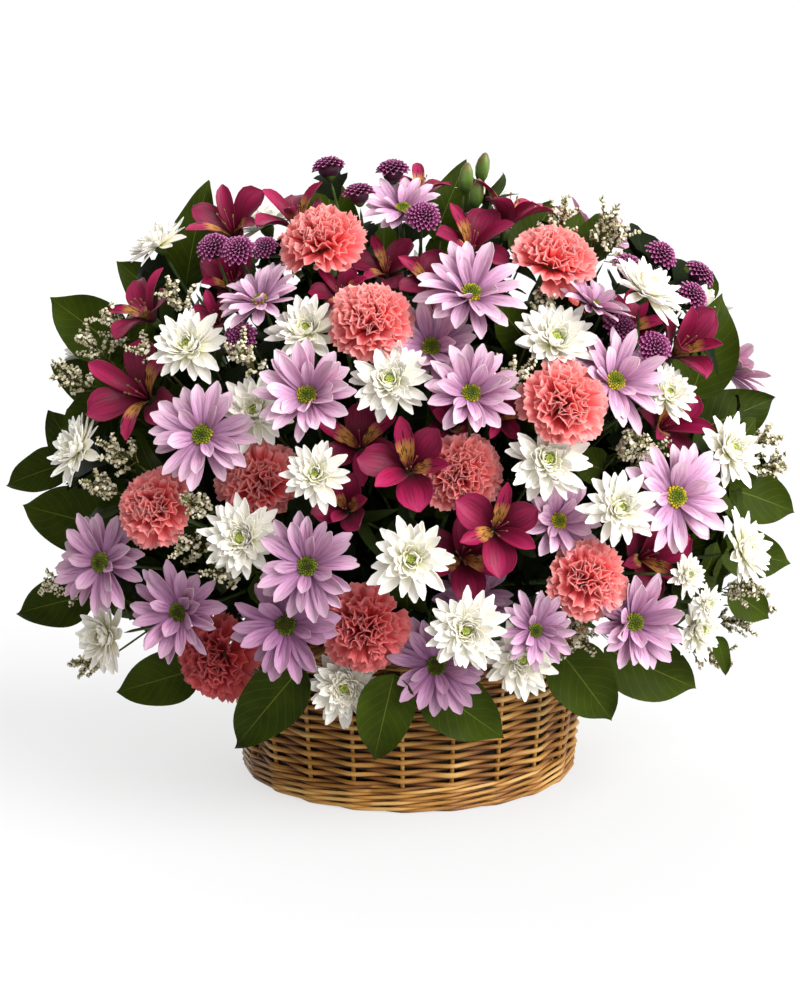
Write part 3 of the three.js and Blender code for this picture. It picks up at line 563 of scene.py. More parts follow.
print("turn from floret to floret:", round(math.degrees(GOLDEN), 1), "degrees")

# %% [markdown]
# ## The lilac daisy
# A daisy mum has two dozen strap-shaped rays in two whorls, and a few short ones that stand round its
# green eye. The rays rise like a shallow cup, are grooved along, and end in a blunt point. A real
# ray has dozens of veins, but 6 by 7 faces are enough for its cup and its grooves, and the material
# draws the rest.


# %% Lilac daisy
def ray_outline(v):
    if v < 0.6:
        return 0.34 + 0.66 * math.sin(0.5 * math.pi * v / 0.6) ** 0.9
    return max(0.03, 1 - ((v - 0.6) / 0.41) ** 2.6) ** 0.7


def lilac_daisy(rng, lean):
    """One daisy of 38 mm radius. lean is how far its rays rise, in degrees."""
    bm = new_bloom()
    # rays, share of the full length, rise in degrees, height in mm
    whorls = ((12, 1.0, lean - 6, 3.6), (12, 0.95, lean + 9, 4.8),
              (4, 0.62, min(lean + 30, 54), 5.4))
    for count, reach, rise, height in whorls:
        first = rng.uniform(0, TAU)
        for i in range(count):
            angle = first + TAU * (i + rng.uniform(-0.24, 0.24)) / count
            length = 36 * MM * reach * rng.uniform(0.86, 1.06)
            start = rise + rng.uniform(-9, 9)
            shape = sheet_shape(length, rng.uniform(8.8, 12.2) * MM, start,
                                start + rng.uniform(-32, 2), ray_outline,
                                cup=rng.uniform(0.1, 0.7), groove=0.5 * MM, ridges=3,
                                sway=rng.uniform(-0.08, 0.08))
            place = around(angle, 5.4 * MM, height * MM, rng.uniform(-0.34, 0.34))
            add_sheet(bm, 6, 7, shape, place, rng.random())
    thicken(bm, 0.3 * MM)
    add_disc(bm, 7.6 * MM, 3.4 * MM, 5.2 * MM, MOST_FLORETS, 1, rng, size=0.13)
    add_cup(bm, [(0, -9), (2.6, -8), (6.2, -2), (6.8, 3), (0, 4.5)], 2)
    return finished(bm, "lilac_daisy", lilac_tissue, daisy_eye, green_stem)


LILAC = variants(lilac_daisy, 100, [(16,), (27,), (36,), (22,)])

# %% [markdown]
# ## The white cushion mum
# A cushion mum packs dozens of pointed petals in a spiral: the outer ones lie flat and are broad and
# long, and the inner ones shorten and rise round a green heart. They could be set in rings, but a
# spiral with the golden turn lays them without gaps, as the plant does. An inner petal is a young
# one, so it runs through only the lower part of the colours from base to tip.


# %% White mum
def pointed_outline(v):
    if v < 0.58:
        return 0.5 + 0.5 * math.sin(0.5 * math.pi * v / 0.58)
    return max(0.16, 1 - ((v - 0.58) / 0.43) ** 2.5)


def white_mum(rng, fullness):
    """One mum of 28 mm radius with that many petals."""
    bm = new_bloom()
    for i in range(fullness):
        t = i / (fullness - 1)
        angle = i * GOLDEN + rng.uniform(-0.14, 0.14)
        length = 28.5 * MM * (1 - 0.74 * t ** 1.1) * rng.uniform(0.84, 1.1)
        start = between(t, -8, 66) + rng.uniform(-8, 8)
        end = start + between(t, 22, 44) + rng.uniform(-26, 20)
        shape = sheet_shape(length, between(t, 8.8, 4.8) * MM * rng.uniform(0.85, 1.12), start, end,
                            pointed_outline, cup=rng.uniform(0.2, 0.65), sway=rng.uniform(-0.1, 0.1))
        place = around(angle, between(t, 3.8, 3.3) * MM, between(t, 0.5, 3.6) * MM,
                       rng.uniform(-0.3, 0.3))
        add_sheet(bm, 4, 5, shape, place, rng.uniform(0.3, 1.0), reach=1 - 0.6 * t * t)
    thicken(bm, 0.3 * MM)
    add_disc(bm, 3.0 * MM, 2.8 * MM, 5.6 * MM, 26, 1, rng, size=0.2)
    add_cup(bm, [(0, -10), (2.4, -9), (5.4, -3), (5.8, 1), (0, 3)], 2)
    return finished(bm, "white_mum", white_tissue, mum_eye, green_stem)


WHITE = variants(white_mum, 200, [(72,), (84,), (94,), (66,)])

# %% [markdown]
# ## The carnation
# A carnation's petals are fans with a narrow claw. They come out of a long green tube, the outer ones
# bend flat and the inner ones crowd upright, and every edge is ruffled and cut with small teeth. Cloth
# simulation could crumple them. A wave across the fan that grows towards its edge, with a finer
# wave on it, does it sooner and the same each time, and the teeth push the vertices of the last row
# out and in by turns.


# %% Carnation
def fan_outline(v):
    return 0.12 + 0.88 * v ** 1.1


def carnation(rng, petals):
    """One carnation of 31 mm radius."""
    bm = new_bloom()
    for i in range(petals):
        t = i / (petals - 1)
        start = between(t, 27, 80) + rng.uniform(-6, 6)
        end = between(t ** 0.9, -24, 100) + rng.uniform(-18, 18)
        waves, phase = rng.uniform(2.0, 3.4), rng.uniform(0, TAU)
        deep = between(t ** 0.7, 1.2, 4.2) * MM
        fine = rng.uniform(0.5, 1.1) * MM
        teeth = rng.uniform(0.7, 1.3) * MM

        def ruffle(u, v, waves=waves, phase=phase, deep=deep, fine=fine, teeth=teeth):
            edge = max(0.0, v - 0.3) / 0.7
            lift = deep * edge ** 1.3 * math.sin(waves * math.pi * u + phase)
            lift += fine * edge ** 2.5 * math.sin(6.5 * math.pi * u + 2 * phase)
            tooth = (teeth if round((u + 1) * 6) % 2 else -teeth) if v > 0.99 else 0.0
            return lift, tooth - 5 * MM * u * u * v

        shape = sheet_shape(between(t, 31, 28) * MM * rng.uniform(0.92, 1.06),
                            rng.uniform(23, 30) * MM, start, end, fan_outline,
                            cup=rng.uniform(-0.1, 0.25), ruffle=ruffle)
        place = around(i * GOLDEN + rng.uniform(-0.2, 0.2), between(t, 3.4, 0.6) * MM, -9 * MM,
                       rng.uniform(-0.25, 0.25))
        add_sheet(bm, 12, 4, shape, place, rng.random())
    thicken(bm, 0.25 * MM)
    add_cup(bm, [(0, -34), (4.4, -33), (6.0, -24), (5.4, -10), (6.6, -5), (0, -8)], 1)
    return finished(bm, "carnation", coral_tissue, grey_calyx)


CORAL = variants(carnation, 300, [(40,), (46,), (38,)])

# %% [markdown]
# ## The button mum
# A button mum is a tight dome of short spoon-shaped petals, deep plum with pale tips. A bumpy ball
# would do from far off, but its outline would be smooth. So the petals are real ones, of 2 by 3 faces,
# and sit on a small ball in the same golden spiral, steeper towards the top.


# %% Button mum
def spoon_outline(v):
    return 0.55 + 0.45 * v if v < 0.7 else max(0.25, 1.02 - ((v - 0.7) / 0.33) ** 2.2)


BUTTON_PETALS = 84


def button_mum(rng):
    """One button of 13 mm radius."""
    bm = new_bloom()
    for i in range(BUTTON_PETALS):
        out = math.sqrt((i + 0.5) / BUTTON_PETALS)
        rise = 90 - 88 * out ** 1.3
        shape = sheet_shape(between(out, 4.0, 6.6) * MM * rng.uniform(0.9, 1.1),
                            between(out, 2.6, 4.0) * MM, rise + 8, rise - 22, spoon_outline, cup=0.8)
        place = around(i * GOLDEN, 7.0 * MM * out, 6.2 * MM * math.sqrt(1 - 0.97 * out * out))
        add_sheet(bm, 2, 3, shape, place, between(out, 0.2, 0.9) + rng.uniform(-0.15, 0.15))
    thicken(bm, 0.25 * MM)
    add_disc(bm, 8.0 * MM, 6.6 * MM, 0.4 * MM, 0, 0, rng)
    add_cup(bm, [(0, -8), (2.0, -7.5), (6.4, -3), (7.6, 0), (0, 2)], 1)
    return finished(bm, "button_mum", plum_tissue, green_stem)


BUTTON = variants(button_mum, 400, [()] * 2)

# %% [markdown]
# ## Stamens and other small rods
# Six fine stamens curve out of an alstroemeria's throat, each a filament with an anther on its end.
# Such small rods come back in the statice, the basket's stakes and its base, so one function makes
# them all: a closed cone with few sides, put in its place and given its tone.


# %% Stamen
THROAT = 22 * MM  # how far below a flower's middle its stamens start


def add_rod(bm, sides, low, high, length, middle, shade, slot):
    """A closed rod of radii low and high, whose middle and whose own +Z a matrix gives."""
    verts = bmesh.ops.create_cone(bm, segments=sides, radius1=low, radius2=high, depth=length,
                                  cap_ends=True)["verts"]
    bmesh.ops.transform(bm, matrix=middle, verts=verts)
    paint(bm, verts, shade, slot)


def lifted(height):
    return Matrix.Translation((0, 0, height))


def add_stamen(bm, angle, rng):
    """A fine filament with an anther on its end."""
    length = rng.uniform(20, 27) * MM
    place = (lifted(-THROAT) @ Matrix.Rotation(angle, 4, "Z")
             @ Matrix.Rotation(-rng.uniform(0.08, 0.3), 4, "X"))
    add_rod(bm, 4, 0.5 * MM, 0.35 * MM, length, place @ lifted(length / 2), 0.2, 3)
    anther = bmesh.ops.create_icosphere(bm, subdivisions=1, radius=1.0 * MM)["verts"]
    bmesh.ops.scale(bm, vec=(0.8, 0.8, 1.7), verts=anther)
    bmesh.ops.transform(bm, matrix=place @ lifted(length), verts=anther)
    paint(bm, anther, 0.9, 3)


print("a stamen starts", THROAT / MM, "mm down in the throat")

# %% [markdown]
# ## The alstroemeria
# An alstroemeria is a trumpet of six tepals: three broad plain ones outside and three narrow ones
# inside, of which two are golden with dark dashes. They leave a short green base nearly upright and
# roll outwards. Each could be modelled as a tube and slit open, but separate sheets overlap and
# crumple at their edges as the real ones do.


# %% Alstroemeria
def tepal_outline(v):
    if v < 0.68:
        return 0.14 + 0.86 * math.sin(0.5 * math.pi * v / 0.68) ** 1.4
    return max(0.03, 1 - ((v - 0.68) / 0.325) ** 2.4) ** 0.72


def alstroemeria(rng, spread):
    """One flower of 31 mm radius. spread is how far the outer tepals roll open, in degrees."""
    bm = new_bloom()
    first = rng.uniform(0, TAU)
    for i in range(3):
        phase = rng.uniform(0, TAU)

        def ruffle(u, v, phase=phase):
            return 2.4 * MM * u * u * v * math.sin(9 * v + 2 * u + phase), 0.0

        shape = sheet_shape(44 * MM * rng.uniform(0.9, 1.04), rng.uniform(21, 26) * MM, 68,
                            spread + rng.uniform(-24, 20), tepal_outline, cup=rng.uniform(0.2, 0.6),
                            groove=0.4 * MM, ridges=2, sway=rng.uniform(-0.1, 0.1), ruffle=ruffle)
        place = around(first + TAU * i / 3 + rng.uniform(-0.1, 0.1), 1.4 * MM, -25 * MM)
        add_sheet(bm, 8, 10, shape, place, rng.uniform(0.1, 0.6))
    for i in range(3):
        shape = sheet_shape(46 * MM * rng.uniform(0.94, 1.04), rng.uniform(10, 13) * MM, 74,
                            spread + rng.uniform(2, 26), tepal_outline, cup=0.45, groove=0.25 * MM,
                            ridges=2, sway=rng.uniform(-0.08, 0.08))
        add_sheet(bm, 6, 10, shape, around(first + TAU * (i + 0.5) / 3, 0.8 * MM, -24 * MM),
                  rng.uniform(0.5, 1.0), 1 if i < 2 else 0)
    thicken(bm, 0.35 * MM)
    for i in range(6):
        add_stamen(bm, first + TAU * i / 6 + rng.uniform(-0.3, 0.3), rng)
    add_cup(bm, [(0, -33), (2.4, -32), (3.8, -27), (3.4, -22), (0, -21)], 2)
    return finished(bm, "alstroemeria", burgundy_tissue, striped_tissue, green_stem, anther_dust)


TRUMPET = variants(alstroemeria, 500, [(-6,), (14,), (32,), (4,)])

# %% [markdown]
# ## The bud
# One alstroemeria has green buds: spindles with three soft ribs that wind a little. The spindle is
# spun like a cup, and the ribs are three waves round it, turned by the height. Its "shade" rises
# along it, because the ripest tips are red.


# %% Bud
def spindle_bud(_):
    """A bud of 5.4 mm radius and 24 mm length, from -12 to 12 mm."""
    bm = new_bloom()
    add_cup(bm, [(0, -12), (2.2, -11), (4.6, -6), (5.4, 0), (4.4, 6), (2.0, 10.6), (0, 12)], 0,
            steps=18)
    tone = bm.verts.layers.float["shade"]
    for vert in bm.verts:
        turn = math.atan2(vert.co.y, vert.co.x) + 30 * vert.co.z
        vert.co.xy *= 1 + 0.1 * math.cos(3 * turn)
        vert[tone] = 0.5 + 35 * vert.co.z
    return finished(bm, "spindle_bud", green_bud)


BUD = variants(spindle_bud, 600, [()])

# %% [markdown]
# ## The leaves
# A salal leaf is a broad pointed blade, cupped along its midrib, with wavy sides. A mum's leaf is
# lobed, and an alstroemeria's is a plain lance. All three are sheets with an outline of their own.
# Salal comes twice, because the small leaves deep in the mound are many and need few faces.


# %% Leaves
def leaf_outline(v):
    """Broadest a third of the way along, then drawn out to a point."""
    return max(0.015, max(0.0, v) ** 0.55 * max(0.0, 1 - v) ** 1.05 / 0.357)


def one_leaf(name, skin, across, along, shape, shade, thickness):
    """A mesh of one leaf alone, with its thickness in mm."""
    bm = new_bloom()
    add_sheet(bm, across, along, shape, Matrix.Identity(4), shade)
    thicken(bm, thickness * MM)
    return finished(bm, name, skin)


def salal_leaf(rng, across=10, along=16):
    """A leaf 100 mm long from the origin along +Y and 60 mm wide, for scaling."""
    wave, phase, deep = rng.uniform(1.2, 2.2), rng.uniform(0, TAU), rng.uniform(2.2, 4.6) * MM

    def ruffle(u, v):
        side = 1.6 if u > 0 else 0.0
        swell = -0.7 * MM * abs(math.sin(math.pi * (4.5 * v - 1.4 * abs(u)))) * math.sin(math.pi * v)
        return deep * u * u * math.sin(wave * TAU * v + phase + side) + swell * (1 - u * u), 0.0

    shape = sheet_shape(100 * MM, 60 * MM, 15, -17, leaf_outline, cup=0.2, ruffle=ruffle)
    return one_leaf("salal_leaf", salal_skin, across, along, shape, 0.3 + 0.5 * rng.random(), 0.45)


def lobed_outline(v):
    lobes = 0.74 + 0.26 * math.cos(TAU * 3.1 * v + 0.5)
    return max(0.04, math.sin(math.pi * min(1.0, v) ** 0.7) * lobes)


def mum_leaf(rng):
    """A lobed leaf 50 mm long from the origin along +Y."""
    shape = sheet_shape(50 * MM, 34 * MM, rng.uniform(10, 30), rng.uniform(-55, -15), lobed_outline,
                        cup=rng.uniform(0.15, 0.5))
    return one_leaf("mum_leaf", mum_skin, 2, 12, shape, rng.random(), 0.4)


def lance_leaf(rng):
    """A plain narrow leaf 80 mm long from the origin along +Y."""
    shape = sheet_shape(80 * MM, 17 * MM, rng.uniform(20, 40), rng.uniform(-60, -20), leaf_outline,
                        cup=rng.uniform(0.2, 0.5), sway=rng.uniform(-0.1, 0.1))
    return one_leaf("lance_leaf", lance_skin, 2, 8, shape, rng.random(), 0.4)


SALAL = variants(salal_leaf, 700, [()] * 4)
SMALL_SALAL = variants(salal_leaf, 750, [(4, 7)] * 3)
MUM_LEAF = variants(mum_leaf, 800, [()] * 3)
LANCE = variants(lance_leaf, 900, [()] * 3)

# %% [markdown]
# ## Statice
# Statice is a cloud of tiny papery stars in brown cups, in two ranks along spikelets that fork from
# the stem. A texture on a few cards would be flat from the side. Each floret here is two small cones,
# with a dozen faces in all, because there are thousands of them, and each strays from its rank.


# %% Statice
SPIKELETS, FLORETS = 12, 12


def turned_to(way):
    """The turn that points +Z along a way."""
    return way.to_track_quat("Z", "Y").to_matrix().to_4x4()


def statice_tuft(rng):
    """Spikelets that fork from a stem, up to 34 mm along +Z and 16 mm round."""
    bm = new_bloom()
    for spike in range(SPIKELETS):
        foot = Vector((0, 0, between(spike / 11, 0, 20) * MM))
        turn = spike * GOLDEN + rng.uniform(-0.4, 0.4)
        rise = math.radians(rng.uniform(24, 66) + 2 * spike)
        way = Vector((math.cos(rise) * math.cos(turn), math.cos(rise) * math.sin(turn),
                      math.sin(rise)))
        side = way.cross(Vector((0, 0, 1))).normalized()
        length = rng.uniform(10, 20) * MM
        add_rod(bm, 3, 0.5 * MM, 0.3 * MM, length,
                Matrix.Translation(foot + way * length / 2) @ turned_to(way), rng.random(), 1)
        for i in range(FLORETS):
            along = foot + way * length * (0.3 + 0.72 * i / FLORETS)
            stray = Vector((rng.uniform(-0.6, 0.6), rng.uniform(-0.6, 0.6), rng.uniform(-0.2, 0.9)))
            tilt = (way + side * (0.9 if i % 2 else -0.9) + stray).normalized()
            place = Matrix.Translation(along) @ turned_to(tilt)
            broad = rng.uniform(0.9, 1.8) * MM
            add_rod(bm, 4, 0.3 * MM, 0.9 * MM, 2.6 * MM, place @ lifted(1.3 * MM), rng.random(), 1)
            add_rod(bm, 5, 0.5 * MM, broad, 1.6 * MM, place @ lifted(3.0 * MM),
                    rng.uniform(0.1, 1.0), 0)
    for face in bm.faces:
        face.smooth = False
    return finished(bm, "statice_tuft", papery_floret, dry_twig)


TUFT = variants(statice_tuft, 1000, [()] * 3)

# %% [markdown]
# ## Where the blooms are
# In the CAD node of a stem each bloom is a turned solid, so the middle of its top is a vertex with one
# edge to every corner of a ring. Nothing else in the node looks like that. From this pole and its
# ring come the bloom's place, its axis and its size. The places could be copied over by hand, but
# this keeps each flower exactly where the frame has it, even when the frame changes.

# %% Forms of the CAD heads
# sides, ring radius, notch of every other ring corner, ring height, pole height, lowest, radius (mm)
HEAD_FORMS = {
    "lilac": (10, 36.86, 0.84, 8, 5, -10, 38),
    "white": (10, 22.4, 1.0, 10, 16, -12, 28),
    "coral": (10, 24.18, 1.0, 23, 29, -34, 31),
    "button": (8, 9.75, 1.0, 8, 11, -8, 13),
    "trumpet": (12, 30.07, 0.72, 11, -10, -32, 31),
    "bud": (8, 5.5, 1.0, 0, 12, -12, 5.5),
    "tuft": (6, 8.0, 1.0, 13.5, 27, 0, 8),
}


def find_heads(bm, form):
    """(middle, axis, size) of each head of a form in a merged node."""
    sides, ring_radius, notch, ring_height, pole_height = HEAD_FORMS[form][:5]
    ring_radius, ring_height, pole_height = ring_radius * MM, ring_height * MM, pole_height * MM
    found = []
    for vert in bm.verts:
        if len(vert.link_edges) != sides:
            continue
        ring = [edge.other_vert(vert).co for edge in vert.link_edges]
        centre = sum(ring, Vector()) / sides
        radii = sorted((place - centre).length for place in ring)
        size = sum(radii[sides // 2:]) / (sides // 2) / ring_radius
        wanted = [ring_radius * size * (notch if i < sides // 2 else 1.0) for i in range(sides)]
        offset = vert.co - centre
        rise = (pole_height - ring_height) * size
        if size < 0.3 or abs(offset.length - abs(rise)) > 0.06 * abs(rise) + 0.1 * MM:
            continue
        if max(abs(a - b) for a, b in zip(radii, wanted)) > 0.04 * ring_radius * size:
            continue
        axis = (offset if rise > 0 else -offset).normalized()
        found.append((centre - axis * ring_height * size, axis, size))
    return found


print("forms of heads:", list(HEAD_FORMS))

# %% [markdown]
# A leaf's blade in the CAD is a flat ten-sided lens, so its upper pole is found in the same way. The
# corner farthest from the pole is the tip, the one farthest from the tip is the base, and so they give
# the leaf's own directions: along, across and up.


# %% Finding the leaves
LENS_SIDES = (10, 12)  # a stem that meets a pole adds an edge or two
NEAREST_CORNER = {10: 5 * MM}  # a pole with more edges is surer where its corners are 13 mm off


def find_leaves(bm):
    """(base, along, across, up, length, width, pole, height) of each leaf blade in a merged node."""
    found = []
    for vert in bm.verts:
        sides = len(vert.link_edges)
        if not LENS_SIDES[0] <= sides <= LENS_SIDES[1]:
            continue
        ring = [edge.other_vert(vert).co for edge in vert.link_edges]
        if min((place - vert.co).length for place in ring) < NEAREST_CORNER.get(sides, 13 * MM):
            continue
        tip = max(ring, key=lambda place: (place - vert.co).length).copy()
        base = max(ring, key=lambda place: (place - tip).length).copy()
        along = tip - base
        asides = [place - vert.co - along * ((place - vert.co).dot(along) / along.length_squared)
                  for place in ring]
        one = max(asides, key=lambda aside: aside.length)
        other = min(asides, key=lambda aside: aside.dot(one))
        width, across = (one - other).length, (one - other).normalized()
        up = across.cross(along).normalized()
        if up.dot(vert.co - (base + tip) / 2) < 0:
            up, across = -up, -across
        height = up.dot(vert.co - (base + tip) / 2)
        near = [leaf for leaf in found if (leaf[6] - vert.co).length < 6 * MM]
        if near and near[0][7] > height:
            continue
        for leaf in near:
            found.remove(leaf)
        found.append((base, along.normalized(), across, up, along.length, width, vert.co.copy(),
                      height))
    return found


print("a blade's pole has", LENS_SIDES[0], "to", LENS_SIDES[1], "edges")

# %% [markdown]
# ## Telling a bloom from its stem
# The CAD's own heads and blades make way for real petals, while the branching stem stays. A node's
# faces carry no names, so a face is told by where it lies: within the drum of a head, or within the
# thin box round a blade.


# %% Head or stem
def in_head(place, head, form):
    """Whether a place lies within a head's own turned solid."""
    middle, axis, size = head
    _, _, _, _, pole, low, radius = HEAD_FORMS[form]
    offset = place - middle
    high = offset.dot(axis)
    out = (offset - axis * high).length
    top = max(pole, 11) * MM * size
    return (low * MM * size - 0.6 * MM < high < top + 1 * MM
            and out < radius * MM * size + 0.5 * MM)


def in_blade(place, leaf):
    """Whether a place lies within a leaf's blade."""
    base, along, across, up, length, width = leaf[:6]
    offset = place - base
    x, y, z = offset.dot(along) / length, abs(offset.dot(across)) / width, offset.dot(up)
    return -0.02 < x < 1.02 and y < 0.66 and -0.13 * length - 3 * MM < z < 0.1 * width + 4 * MM


print("a daisy's drum is", 2 * HEAD_FORMS["lilac"][6], "mm across")

# %% [markdown]
# ## Reading every stem
# Each stem node is copied and merged, its heads and blades are noted, and their faces are cut from
# the copy. What is left is the bare branching stem, which the next step rounds. The node itself is
# never changed.

# %% Read the stem nodes
KIND_OF = {"lilac_daisy": "lilac", "white_mum": "white", "carnation": "coral", "button_mum": "button",
           "alstroemeria": "trumpet", "statice": "tuft", "salal": "leaf"}
stems = {}
for name, node in sorted(nodes.items()):
    kind = next((k for start, k in KIND_OF.items() if name.startswith(start)), None)
    if kind is None:
        continue
    bm = bmesh.new()
    bm.from_mesh(node.data)
    bmesh.ops.remove_doubles(bm, verts=bm.verts, dist=0.01 * MM)
    heads = [(kind, head) for head in find_heads(bm, kind)] if kind != "leaf" else []
    if kind == "trumpet":
        heads += [("bud", head) for head in find_heads(bm, "bud")]
    leaves = find_leaves(bm) if kind == "leaf" else []
    gone = [face for face in bm.faces
            if any(in_head(face.calc_center_median(), head, form) for form, head in heads)
            or any(in_blade(face.calc_center_median(), leaf) for leaf in leaves)]
    bmesh.ops.delete(bm, geom=gone, context="FACES")
    stems[name] = {"kind": kind, "heads": heads, "leaves": leaves, "bare": bm}
counts = {}
for stem in stems.values():
    for form, _ in stem["heads"]:
        counts[form] = counts.get(form, 0) + 1
    counts["leaf"] = counts.get("leaf", 0) + len(stem["leaves"])
print("stems:", len(stems), "heads:", counts)

# %% [markdown]
# ## Rounding the stems
# The CAD stems are three- and four-sided rods with long facets. A bevel would sharpen up every joint
# of the branches. Joining the triangles back into four-sided faces and subdividing them with a smooth
# surface gives round, gently curved stems. Such a surface shrinks a thin rod, so the rod is first
# swollen by a share of its thickness. Its open ends are closed, and then hidden inside a calyx.


# %% Rounded stem
def rounded(bm, swell):
    """A smooth closed mesh from a bare stem."""
    bmesh.ops.holes_fill(bm, edges=[edge for edge in bm.edges if edge.is_boundary], sides=0)
    bmesh.ops.join_triangles(bm, faces=bm.faces[:], angle_face_threshold=0.5,
                             angle_shape_threshold=3.1)
    bm.normal_update()
    moves = [(vert, vert.normal * swell) for vert in bm.verts]
    for vert, move in moves:
        vert.co += move
    mesh = bpy.data.meshes.new("bare_stem")
    bm.to_mesh(mesh)
    holder = add_object("bare_stem", mesh)
    smooth = holder.modifiers.new("round", "SUBSURF")
    smooth.levels = smooth.render_levels = 1
    result = holder.evaluated_get(bpy.context.evaluated_depsgraph_get())
    shaped = bpy.data.meshes.new_from_object(result)
    bpy.data.objects.remove(holder)
    bpy.data.meshes.remove(mesh)
    return shaped


print("corners of the bare stems:", sum(len(stem["bare"].verts) for stem in stems.values()))

# %% [markdown]
# ## Putting a bloom in place
# Blooms could be linked copies scattered on the stems, which saves memory, but then a stem would be
# dozens of objects. Here a bloom's mesh is copied, given a value of its own for "bloom", moved to its
# head's place and poured into the stem's mesh, so stem, leaves and blooms are one piece, as they grow.


# %% Pouring meshes together
def pour(bm, mesh, matrix, bloom, slots):
    """Adds a copy of mesh to bm. slots says which of bm's materials each of its own stands for."""
    copy = mesh.copy()
    copy.transform(matrix)
    tint = copy.attributes.new("bloom", "FLOAT", "POINT")
    tint.data.foreach_set("value", [bloom] * len(copy.vertices))
    copy.polygons.foreach_set("material_index", [slots[p.material_index] for p in copy.polygons])
    bm.from_mesh(copy)
    bpy.data.meshes.remove(copy)


def facing(middle, axis, roll, size):
    """The matrix that stands a bloom at middle, with its own +Z along axis."""
    return (Matrix.Translation(middle) @ turned_to(axis) @ Matrix.Rotation(roll, 4, "Z")
            @ Matrix.Scale(size, 4))


def blade_place(base, along, across, up, wide, long):
    """The matrix that lays a leaf from base, with its own +Y along and +Z up."""
    columns = [across * wide, along * long, up * (0.5 * (wide + long))]
    turn = Matrix([[columns[c][r] for c in range(3)] for r in range(3)]).to_4x4()
    return Matrix.Translation(base) @ turn


all_heads = [(form, head) for stem in stems.values() for form, head in stem["heads"]]
all_blades = [leaf for stem in stems.values() for leaf in stem["leaves"]]
print("blooms in all:", len(all_heads), "blades:", len(all_blades))

# %% [markdown]
# ## The room between the blooms
# A florist strips the lowest leaves and leaves the rest, so the depth of the mound is dark with
# foliage. The mound is described as an egg that is flatter at its back, and a place in it by the turn
# from its front, the rise from its middle and a share of its depth. A leaf can grow from any face of
# a bare stem above the rim.

# %% Mound
MOUND_MIDDLE = Vector((0, 15, 205)) * MM
MOUND_HALF = Vector((302, 205, 285)) * MM
MOUND_BACK, MOUND_BACK_TOP, MOUND_BELOW = 112 * MM, 235 * MM, 168 * MM
LOWEST_LEAF = 150 * MM


def mound_point(turn, rise, share):
    """A point at a share of the mound's depth, by its turn from the front and its rise in radians."""
    deep = MOUND_HALF.y if math.cos(turn) > 0 else MOUND_BACK
    top = MOUND_HALF.z if math.cos(turn) > 0 else MOUND_BACK_TOP
    tall = top if rise > 0 else MOUND_BELOW
    level = math.cos(rise)
    return MOUND_MIDDLE + Vector((MOUND_HALF.x * math.sin(turn) * level,
                                  -deep * math.cos(turn) * level, tall * math.sin(rise))) * share


stem_faces = []
for name, stem in stems.items():
    for face in stem["bare"].faces:
        centre = face.calc_center_median()
        if centre.z > LOWEST_LEAF:
            stem_faces.append((centre, name))
print("places where a leaf can grow:", len(stem_faces))

# %% [markdown]
# A leaf is left out where there is no room for it. It could be tested face by face, but twelve places
# along and across it are enough to tell whether it would cut through a bloom, stand before one, or lie
# on a leaf that the frame already has.

# %% Clearances
# how far each bloom reaches aside, in mm
REACH = {"lilac": 40, "white": 28, "coral": 32, "button": 13, "trumpet": 30, "bud": 6, "tuft": 9}
VIEW_OF_BLOOM = 90 * MM  # a leaf this far before a bloom no longer hides it


def clear_of_blooms(places):
    """Whether a leaf through those places neither cuts a bloom nor stands before one."""
    for form, (middle, axis, size) in all_heads:
        reach = REACH[form] * MM * size
        low = (-14 if form in ("coral", "trumpet") else -3) * MM
        for place in places:
            offset = place - middle
            high = offset.dot(axis)
            aside = (offset - axis * high).length
            if low < high < VIEW_OF_BLOOM and aside < reach * (1 if high < 25 * MM else 0.8):
                return False
    return True


def clear_of_blades(places):
    """Whether a leaf through those places stays off the frame's own leaves."""
    for base, along, across, up, length, width, _, _ in all_blades:
        for place in places:
            offset = place - base
            if (-0.1 < offset.dot(along) / length < 1.05 and abs(offset.dot(across)) < 0.6 * width
                    and -9 * MM < offset.dot(up) < 40 * MM):
                return False
    return True


print("the mound's middle is clear:", clear_of_blooms([MOUND_MIDDLE]))

# %% [markdown]
# ## Foliage between the blooms
# The ends of the leaves are spread evenly through the mound by two irrational steps, which leave no
# rows and no holes as random points would. Each leaf grows from a stem face a little further in. The
# last ends lie along the mound's outline, where light would shine through: these leaves turn their
# faces to the front.

